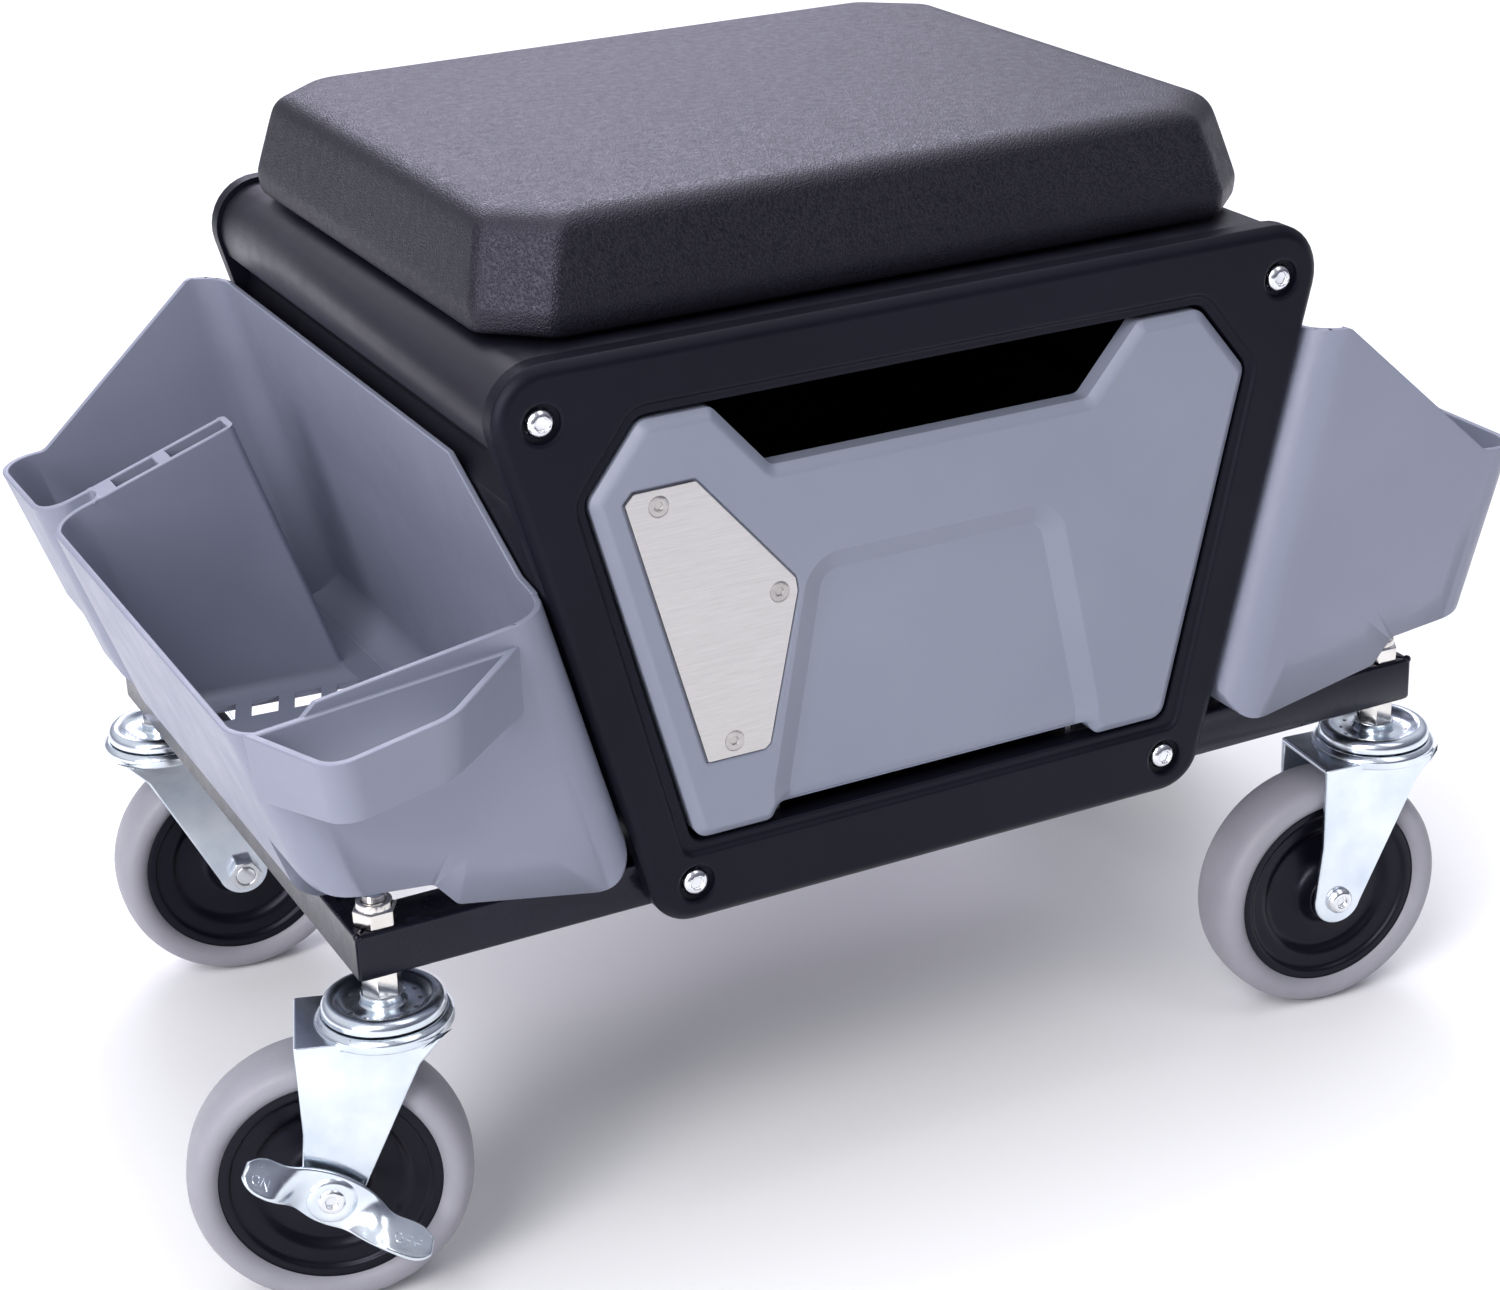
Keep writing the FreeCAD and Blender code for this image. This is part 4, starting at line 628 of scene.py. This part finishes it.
# Each paddle's word, the share of the reach at its middle and its foot across the paddle.
WORDS = (("on", "ON", 0.80, 0.62), ("off", "OFF", 0.76, 0.45))
LETTER_PITCH, LETTER_GAP = 3.7, 1.1
LETTER_SPAN = 7.4
LETTER_SINK = 0.12
STROKE = ((-0.34, 0.0), (-0.18, 0.34), (0.18, 0.34), (0.34, 0.0))


def raised_stroke(bm, arm, spots, place):
    """One raised stroke over (share, w) spots of a paddle, closed at both ends."""
    rows = []
    for n, (share, w) in enumerate(spots):
        p = paddle_spot(arm, share, w)
        du = (paddle_spot(arm, share + 0.02, w) - p).normalized()
        dw = (paddle_spot(arm, share, w + 0.05) - p).normalized()
        up = du.cross(dw).normalized()
        if up.y < 0:
            up = -up
        before = paddle_spot(arm, *spots[max(n - 1, 0)])
        after = paddle_spot(arm, *spots[min(n + 1, len(spots) - 1)])
        across = up.cross((after - before).normalized()).normalized()
        base = p + up * (PADDLE_SHEET / 2 - LETTER_SINK)
        rows.append([bm.verts.new(place(base + across * a + up * h)) for a, h in STROKE])
    for a, b in zip(rows, rows[1:]):
        for k in range(4):
            bm.faces.new((a[k], a[(k + 1) % 4], b[(k + 1) % 4], b[k]))
    bm.faces.new(rows[0])
    bm.faces.new(rows[-1])


def letters(name, place, body):
    """ON and OFF as fine raised strokes that follow the two paddles."""
    for arm, word, along, low in WORDS:
        tip, way = PADDLES[arm][1], PADDLES[arm][2]
        width = LETTER_PITCH * len(word) - LETTER_GAP
        bm = bmesh.new()
        for i, letter in enumerate(word):
            for stroke in LETTERS[letter]:
                spots = [(along - way * (i * LETTER_PITCH + u - width / 2) / tip,
                          low - v / LETTER_SPAN) for u, v in stroke]
                raised_stroke(bm, arm, spots, place)
        mesh = finished(bm, "letters")
        smooth(mesh, 60.0)
        new_object(name + "_pedal_" + arm, mesh, M_ZINC, body=body)


# Moulded plates, in mm across X and Z, with heights out along Y

LEAST_RADIUS = 0.3
CIRCLE_STEPS = 40


def rounded(corners, inset, steps):
    """Points of a rounded outline, from corners of (x, z, radius), moved inward by inset."""
    turn = sum(a[0] * b[1] - b[0] * a[1] for a, b in zip(corners, corners[1:] + corners[:1]))
    way = 1.0 if turn > 0 else -1.0
    count = len(corners)
    spots = [Vector(c[:2]) for c in corners]
    lines = []
    for i in range(count):
        u = (spots[(i + 1) % count] - spots[i]).normalized()
        lines.append((spots[i] + Vector((-u.y, u.x)) * way * inset, u))
    points = []
    for i in range(count):
        (p, u), (q, w) = lines[i - 1], lines[i]
        cross = u.x * w.y - u.y * w.x
        d = q - p
        here = p + u * ((d.x * w.y - d.y * w.x) / cross)
        radius = max(LEAST_RADIUS, corners[i][2] - inset * (1.0 if cross * way > 0 else -1.0))
        half = math.acos(max(-1.0, min(1.0, (-u).dot(w)))) / 2
        cut = radius / math.tan(half)
        centre = here + (w - u).normalized() * (radius / math.sin(half))
        a = here - u * cut - centre
        sweep = a.angle_signed(here + w * cut - centre)
        for k in range(steps + 1):
            t = centre + Matrix.Rotation(-sweep * k / steps, 2) @ a
            points.append((t.x, t.y))
    return points


def both_sides(half):
    """A whole outline from its right half, given from the top middle down."""
    return half + [(-x, z, r) for x, z, r in reversed(half)]


def circle(x, z, r):
    angles = [2 * math.pi * k / CIRCLE_STEPS for k in range(CIRCLE_STEPS)]
    return [(x + r * math.cos(a), z + r * math.sin(a)) for a in angles]


def depth_in(loop, x, z):
    """Signed distance of a point inside a closed outline."""
    inside = False
    best = 1e9
    for (ax, az), (bx, bz) in zip(loop, loop[1:] + loop[:1]):
        if (az > z) != (bz > z) and x < ax + (z - az) / (bz - az) * (bx - ax):
            inside = not inside
        ex, ez = bx - ax, bz - az
        t = max(0.0, min(1.0, ((x - ax) * ex + (z - az) * ez) / max(1e-12, ex * ex + ez * ez)))
        best = min(best, (ax + ex * t - x) ** 2 + (az + ez * t - z) ** 2)
    return math.sqrt(best) * (1 if inside else -1)


def rolled(d, run, drop, power):
    """Depth of a rounded-over edge that starts at drop and levels out over run."""
    return drop * (1 - d / run) ** power if d < run else 0.0


def eased(d, run, drop, soft):
    """Depth of a sloped edge that falls by drop over run, rounded where it starts and ends."""
    if d <= -soft:
        return 0.0
    if d < soft:
        return drop / run * (d + soft) ** 2 / (4 * soft)
    if d < run - soft:
        return drop * d / run
    if d < run + soft:
        return drop - drop / run * (run + soft - d) ** 2 / (4 * soft)
    return drop


def relief(name, node, look, edge, holes, loops, height, back, facing):
    """A plate across Y: its face follows a height over marked outlines, its back is flat."""
    verts, edges = [], []
    for row in [edge] + holes + loops:
        first = len(verts)
        verts += [Vector(p) for p in row]
        edges += [(first + k, first + (k + 1) % len(row)) for k in range(len(row))]
    spots, _, faces = mathutils.geometry.delaunay_2d_cdt(verts, edges, [], 0, 1e-4)[:3]
    bm = bmesh.new()
    front = [bm.verts.new((p.x * MM, facing * height(p.x, p.y) * MM, p.y * MM)) for p in spots]
    rear = [bm.verts.new((p.x * MM, facing * back * MM, p.y * MM)) for p in spots]
    # A dictionary, since it keeps its order: the edges that only one face uses so far.
    open_edges = {}
    for face in faces:
        cx = sum(spots[i].x for i in face) / 3
        cz = sum(spots[i].y for i in face) / 3
        if depth_in(edge, cx, cz) <= 0 or any(depth_in(hole, cx, cz) > 0 for hole in holes):
            continue
        bm.faces.new([front[i] for i in face])
        bm.faces.new([rear[i] for i in reversed(face)])
        for a, b in zip(face, face[1:] + face[:1]):
            if (b, a) in open_edges:
                del open_edges[(b, a)]
            else:
                open_edges[(a, b)] = True
    for a, b in open_edges:
        bm.faces.new((front[b], front[a], rear[a], rear[b]))
    bmesh.ops.delete(bm, geom=[v for v in bm.verts if not v.link_faces], context="VERTS")
    mesh = finished(bm, name)
    smooth(mesh, 40.0)
    obj = new_object(name, mesh, look, node)
    even = obj.modifiers.new("even", "WEIGHTED_NORMAL")
    even.keep_sharp = True
    even.weight = 50
    bake_modifiers(obj)


# The plate's screws, as (x, z) right of the middle, and its sides, which lean along them.
SCREW_TOP = (145.0, 315.3)
SCREW_LOW = (98.2, 136.3)
PLATE_SLOPE = (SCREW_TOP[0] - SCREW_LOW[0]) / (SCREW_TOP[1] - SCREW_LOW[1])
PLATE_MARGIN = 16.8
PLATE_FACE, PLATE_BACK = 147.9, 138.2
PLATE_TOP, PLATE_TOP_RADIUS = 335.0, 19.5
PLATE_LOW, PLATE_LOW_RADIUS = 121.5, 17.0
OPENING_GROWTH, SURROUND_GROWTH = 1.5, 6.0
SCREW_SEAT, SCREW_SEAT_RIM = 7.0, 1.3
SINK_FLAT, SINK_DEPTH, SINK_SLOPE = 6.4, 2.6, 0.25


def plate_half(z):
    """Half the plate's width at a height."""
    return (SCREW_LOW[0] + (z - SCREW_LOW[1]) * PLATE_SLOPE
            + PLATE_MARGIN * math.hypot(1, PLATE_SLOPE))


def aperture_corners(grow):
    """The drawer front's outline with its top straight across, grown by a margin."""
    return both_sides([(110.2 + grow * 0.5, 309.8 + grow, 6.0 + grow),
                       (130.2 + grow, 284.6 + grow * 0.2, 6.0 + grow),
                       (97.0 + grow, 153.2 - grow, 6.0)])


def moulded_plate(name, node, facing):
    """The front or rear plate: rounded rim, sunk screw seats and a bevelled surround."""
    corners = both_sides([(plate_half(PLATE_TOP), PLATE_TOP, PLATE_TOP_RADIUS),
                          (plate_half(PLATE_LOW), PLATE_LOW, PLATE_LOW_RADIUS)])
    edge = rounded(corners, 0.0, 10)
    opening = rounded(aperture_corners(OPENING_GROWTH), 0.0, 8)
    surround = rounded(aperture_corners(SURROUND_GROWTH), 0.0, 8)
    loops = [rounded(corners, inset, 10) for inset in (0.3, 0.7, 1.3, 2.1, 3.0, 3.9, 4.8)]
    seats = [(side * x, z) for side in (-1, 1) for x, z in (SCREW_TOP, SCREW_LOW)]
    for x, z in seats:
        loops += [circle(x, z, r) for r in (SINK_FLAT, 6.95, 7.05, 7.6, 8.3)]
    loops += [rounded(aperture_corners(SURROUND_GROWTH), inset, 8)
              for inset in (-0.9, -0.45, 0.0, 0.5, 1.0, 1.6, 2.2)]
    holes = [opening] if facing < 0 else []
    if holes:
        loops += [rounded(aperture_corners(OPENING_GROWTH), inset, 8)
                  for inset in (-0.9, -0.5, -0.2)]

    def height(x, z):
        fall = rolled(depth_in(edge, x, z), run=4.6, drop=3.2, power=2.1)
        fall += eased(depth_in(surround, x, z), run=1.3, drop=1.6, soft=0.45)
        if holes:
            fall += rolled(-depth_in(opening, x, z), run=0.9, drop=0.8, power=2)
        for sx, sz in seats:
            reach = math.hypot(x - sx, z - sz)
            if reach < SCREW_SEAT:
                fall += SINK_DEPTH - SINK_SLOPE * max(0.0, reach - SINK_FLAT)
            else:
                fall += rolled(reach - SCREW_SEAT, run=SCREW_SEAT_RIM, drop=0.6, power=2)
        return PLATE_FACE - fall

    relief(name, node, M_BLACK, edge, holes, loops, height, PLATE_BACK, facing)


DRAWER_HALF = [(62.8, 285.1, 4.2), (84.2, 309.8, 4.2), (110.2, 309.8, 6.0), (130.2, 284.6, 6.0),
               (97.0, 153.2, 6.0), (67.7, 153.2, 4.0), (64.0, 158.6, 4.0)]
ARCH_HALF = [(50.5, 250.3, 15.0), (67.5, 166.0, 2.0), (67.5, 120.0, 2.0)]
TRIM_CORNERS = [(-118.5, 282.5, 1.0), (-115.1, 286.0, 1.0), (-92.4, 286.3, 1.0),
                (-56.4, 243.8, 1.0), (-55.8, 238.9, 1.0), (-68.4, 184.4, 1.0),
                (-70.6, 182.6, 1.0), (-92.6, 182.7, 1.0)]
DRAWER_FACE, DRAWER_BACK = 149.3, 139.5
POCKET_GROWTH, POCKET_DEPTH, POCKET_EDGE = 0.6, 1.1, 0.01


def drawer_panel():
    """The drawer's front: bevelled ears and feet, the arched field, the trim's pocket."""
    corners = both_sides(DRAWER_HALF)
    edge = rounded(corners, 0.0, 7)
    loops = [rounded(corners, inset, 7) for inset in (0.3, 0.8, 1.4, 2.0, 2.6, 3.2, 3.8, 4.4)]
    arch_corners = both_sides(ARCH_HALF)
    arch = rounded(arch_corners, 0.0, 14)
    loops += [rounded(arch_corners, inset, 14)
              for inset in (-0.4, -0.1, 0.15, 0.4, 3.0, 5.5, 7.6, 7.85, 8.1, 8.4)]
    pocket = rounded(TRIM_CORNERS, -POCKET_GROWTH, 5)
    loops += [rounded(TRIM_CORNERS, inset, 5) for inset in (-1.5, -1.1, -0.65, -0.55)]

    def height(x, z):
        rim = depth_in(edge, x, z)
        fall = rolled(rim, run=3.9, drop=2.9, power=1.35)
        sunk = eased(depth_in(arch, x, z), run=8.0, drop=3.6, soft=0.4)
        well = depth_in(pocket, x, z)
        dip = POCKET_DEPTH if well > -POCKET_EDGE else rolled(-well, run=0.9, drop=0.5, power=2)
        deeper = max(fall, sunk if rim > 0.0 else fall)
        return DRAWER_FACE - deeper - 0.35 * min(fall, sunk) - dip

    relief("drawer_face", "drawer_front", M_GREY, edge, [], loops, height, DRAWER_BACK, -1)


# Body pieces, in metres

RIM_LEAST_Z = 0.196
RACK_TIP_X = 0.1875
RACK_TIP_Y = (0.058, 0.100)
RACK_Y = (0.060, 0.098)
RACK_X = (0.183, 0.2585)
RACK_LOW = 0.232
# The rack's top in the CAD part: the bin's rim in two slopes and the rack's own roof. Then the
# straight line that takes their place, and how far below them its lift begins.
RIM_RISE, RIM_RUN = 0.002, 0.0205
STEP_X, STEP_Z, STEP_RISE, STEP_RUN = 0.238, 0.234, 60.0, 66.0
ROOF_X, ROOF_RISE, ROOF_RUN = 0.2645, 26.0, 82.0
LINE_RISE, LINE_RUN = 26.0, 76.0
LIFT_BELOW, LIFT_RUN = 0.004, 0.003


def rim_edge(edge):
    """Edges of the bins that show as soft rims: not drains, slot floors or the rack's tip."""
    ends = [v.co for v in edge.verts]
    tip = all(abs(p.x) < RACK_TIP_X and RACK_TIP_Y[0] < abs(p.y) < RACK_TIP_Y[1] for p in ends)
    return min(p.z for p in ends) > RIM_LEAST_Z and edge.is_convex and not tip


def straight_rack(co, way):
    """Carries the rack's top in one straight line from the outer wall to its tip.

    The CAD rack's top follows the bin's rim and then its own roof, whichever is lower.
    """
    y, z = co.y * way, co.z
    reach = -(co.x * way)
    if not (RACK_Y[0] < y < RACK_Y[1] and RACK_X[0] < reach < RACK_X[1]):
        return co
    inward = RACK_X[1] - reach
    rim = RACK_LOW + inward * RIM_RISE / RIM_RUN
    if reach <= STEP_X:
        rim = STEP_Z + (STEP_X - reach) * STEP_RISE / STEP_RUN
    roof = RACK_LOW + (ROOF_X - reach) * ROOF_RISE / ROOF_RUN
    low = min(rim, roof)
    line = RACK_LOW + inward * LINE_RISE / LINE_RUN
    share = max(0.0, min(1.0, (z - low + LIFT_BELOW) / LIFT_RUN))
    return Vector((co.x, co.y, z + share * (line - low)))


WELD_BEAD = [(0.0, 1.3), (0.8, 1.15), (1.35, 0.7), (1.6, 0.0), (1.5, -0.9), (0.0, -1.2)]
WELD_AT = (0.2202, 0.1372, 0.1446)


def weld_beads():
    """A small weld bead at each upper corner of the base frame."""
    for name, sx, sy in (("front_left", -1, -1), ("front_right", 1, -1),
                         ("rear_left", -1, 1), ("rear_right", 1, 1)):
        x, y, z = WELD_AT
        mesh = lathe(WELD_BEAD, (sx * x, sy * y, z), (sx * 0.5, sy * 0.5, 1.0), 24)
        new_object(name + "_weld", mesh, M_FRAME, body="base")


def body_pieces():
    """Frame, plates, cover, panels, bins, drawer and screws."""
    for node in ("frame_front_rail", "frame_rear_rail", "frame_left_rail", "frame_right_rail"):
        dressed(node, 1.1 * MM, 3)
    moulded_plate("front_cover", "front_plate", -1)
    moulded_plate("rear_cover", "rear_plate", 1)
    dressed("top_cover", 0.7 * MM, 2)
    for node in ("left_side_panel", "right_side_panel"):
        dressed(node, 0.6 * MM, 2)
    for node, way in (("left_bin", 1), ("right_bin", -1)):
        dressed(node, 0.6 * MM, 3, angle=30.0, pick=rim_edge,
                reshape=lambda co, way=way: straight_rack(co, way))
    drawer_panel()
    dressed("drawer_tray", 0.6 * MM, 2)
    dressed("trim_plate", 0.25 * MM, 2, pick=every_edge)
    for node in ("front_plate_screws", "rear_plate_screws", "stem_top_nuts", "stem_lower_nuts"):
        dressed(node, 0.45 * MM, 2)
    for node in ("trim_screws", "seat_screws", "drawer_screws"):
        dressed(node, 0.15 * MM, 2)
    weld_beads()


seat()
casters()
pedal("front_left")
pedal("rear_right")
body_pieces()


# Floor, light and camera

# The photograph's size, the camera's focal length and its principal point, in pixels.
PHOTO_WIDTH, PHOTO_HEIGHT = 1500.0, 1290.0
FOCAL = 3012.65
CENTRE_X, CENTRE_Y = 763.84, 646.39
SENSOR = 36.0
CAMERA_AT = (-0.4907413, -0.9991784, 0.6316946)
CAMERA_RIGHT = (0.8884115, -0.4576524, -0.0357677)
CAMERA_UP = (0.2112327, 0.3383852, 0.9169930)
CAMERA_LOOK = (0.4075608, 0.8222224, -0.3972965)
FLOOR_HALF = 9.0


def floor():
    """A wide pale floor."""
    bm = bmesh.new()
    bmesh.ops.create_grid(bm, x_segments=2, y_segments=2, size=FLOOR_HALF)
    mesh = bpy.data.meshes.new("floor")
    bm.to_mesh(mesh)
    bm.free()
    n = Nodes("floor")
    pale = n.ramp(n.noise(scale=0.6, detail=2.0, rough=0.5), [(0.3, 0.86), (0.7, 0.88)])
    n.done(pale, Roughness=0.85, Specular_IOR_Level=0.1)
    obj = bpy.data.objects.new("floor", mesh)
    bpy.context.scene.collection.objects.link(obj)
    mesh.materials.append(n.mat)


def area(name, place, target, size_x, size_y, power, colour=(1, 1, 1)):
    """A rectangular soft light at a place, turned to a target."""
    data = bpy.data.lights.new(name, "AREA")
    data.shape = "RECTANGLE"
    data.size, data.size_y = size_x, size_y
    data.energy = power
    data.color = colour
    obj = bpy.data.objects.new(name, data)
    bpy.context.scene.collection.objects.link(obj)
    obj.location = place
    obj.rotation_mode = "QUATERNION"
    obj.rotation_quaternion = (Vector(target) - Vector(place)).to_track_quat("-Z", "Y")


def world():
    """Soft surroundings: pale overhead, darker low down and towards one side."""
    w = bpy.data.worlds.new("studio")
    bpy.context.scene.world = w
    w.use_nodes = True
    nodes, links = w.node_tree.nodes, w.node_tree.links
    coord = nodes.new("ShaderNodeTexCoord")

    def ramp(source, low, high):
        node = nodes.new("ShaderNodeValToRGB")
        for end, (at, colour) in zip(node.color_ramp.elements, (low, high)):
            end.position, end.color = at, colour
        links.new(source, node.inputs["Fac"])
        return node.outputs["Color"]

    split = nodes.new("ShaderNodeSeparateXYZ")
    links.new(coord.outputs["Generated"], split.inputs[0])
    overhead = ramp(split.outputs["Z"], (0.12, (0.34, 0.34, 0.42, 1)), (0.55, (0.93, 0.94, 1.0, 1)))
    side = nodes.new("ShaderNodeVectorMath")
    side.operation = "DOT_PRODUCT"
    side.inputs[1].default_value = (0.50, -0.84, 0.2)
    links.new(coord.outputs["Generated"], side.inputs[0])
    shade = ramp(side.outputs["Value"], (0.15, (1, 1, 1, 1)), (0.85, (0.30, 0.30, 0.34, 1)))
    product = nodes.new("ShaderNodeMix")
    product.data_type, product.blend_type = "RGBA", "MULTIPLY"
    factor, base, blend = (product.inputs[k] for k in (0, 6, 7))
    factor.default_value = 1.0
    links.new(overhead, base)
    links.new(shade, blend)
    back = nodes["Background"]
    links.new(product.outputs[2], back.inputs["Color"])
    back.inputs["Strength"].default_value = 0.92


def camera():
    """The photograph's camera, with its principal point as a small shift."""
    data = bpy.data.cameras.new("camera")
    data.sensor_width = SENSOR
    data.lens = FOCAL / PHOTO_WIDTH * SENSOR
    data.shift_x = (PHOTO_WIDTH / 2 - CENTRE_X) / PHOTO_WIDTH
    data.shift_y = (CENTRE_Y - PHOTO_HEIGHT / 2) / PHOTO_WIDTH
    data.clip_start, data.clip_end = 0.01, 50.0
    obj = bpy.data.objects.new("camera", data)
    bpy.context.scene.collection.objects.link(obj)
    rows = [(right, up, -look, at) for right, up, look, at
            in zip(CAMERA_RIGHT, CAMERA_UP, CAMERA_LOOK, CAMERA_AT)]
    obj.matrix_world = Matrix(rows + [(0, 0, 0, 1)])
    bpy.context.scene.camera = obj


floor()
area("key", (-1.9, -1.5, 2.2), (0, 0, 0.2), 1.4, 1.4, 42.0)
area("left", (-2.15, -1.15, 0.85), (0, 0, 0.3), 0.9, 1.2, 26.0, (1.0, 0.96, 1.0))
area("fill", (0.9, -1.8, 3.0), (0, 0, 0.2), 1.4, 1.4, 11.0)
area("top", (0.2, 0.3, 2.8), (0, 0, 0.2), 2.2, 1.8, 36.0)
area("sheen", (0.75, 2.4, 1.8), (0, 0, 0.37), 1.9, 0.9, 34.0, (0.84, 0.81, 1.0))
world()
camera()
bpy.context.scene.view_settings.view_transform = "Standard"
bpy.context.scene.view_settings.look = "None"
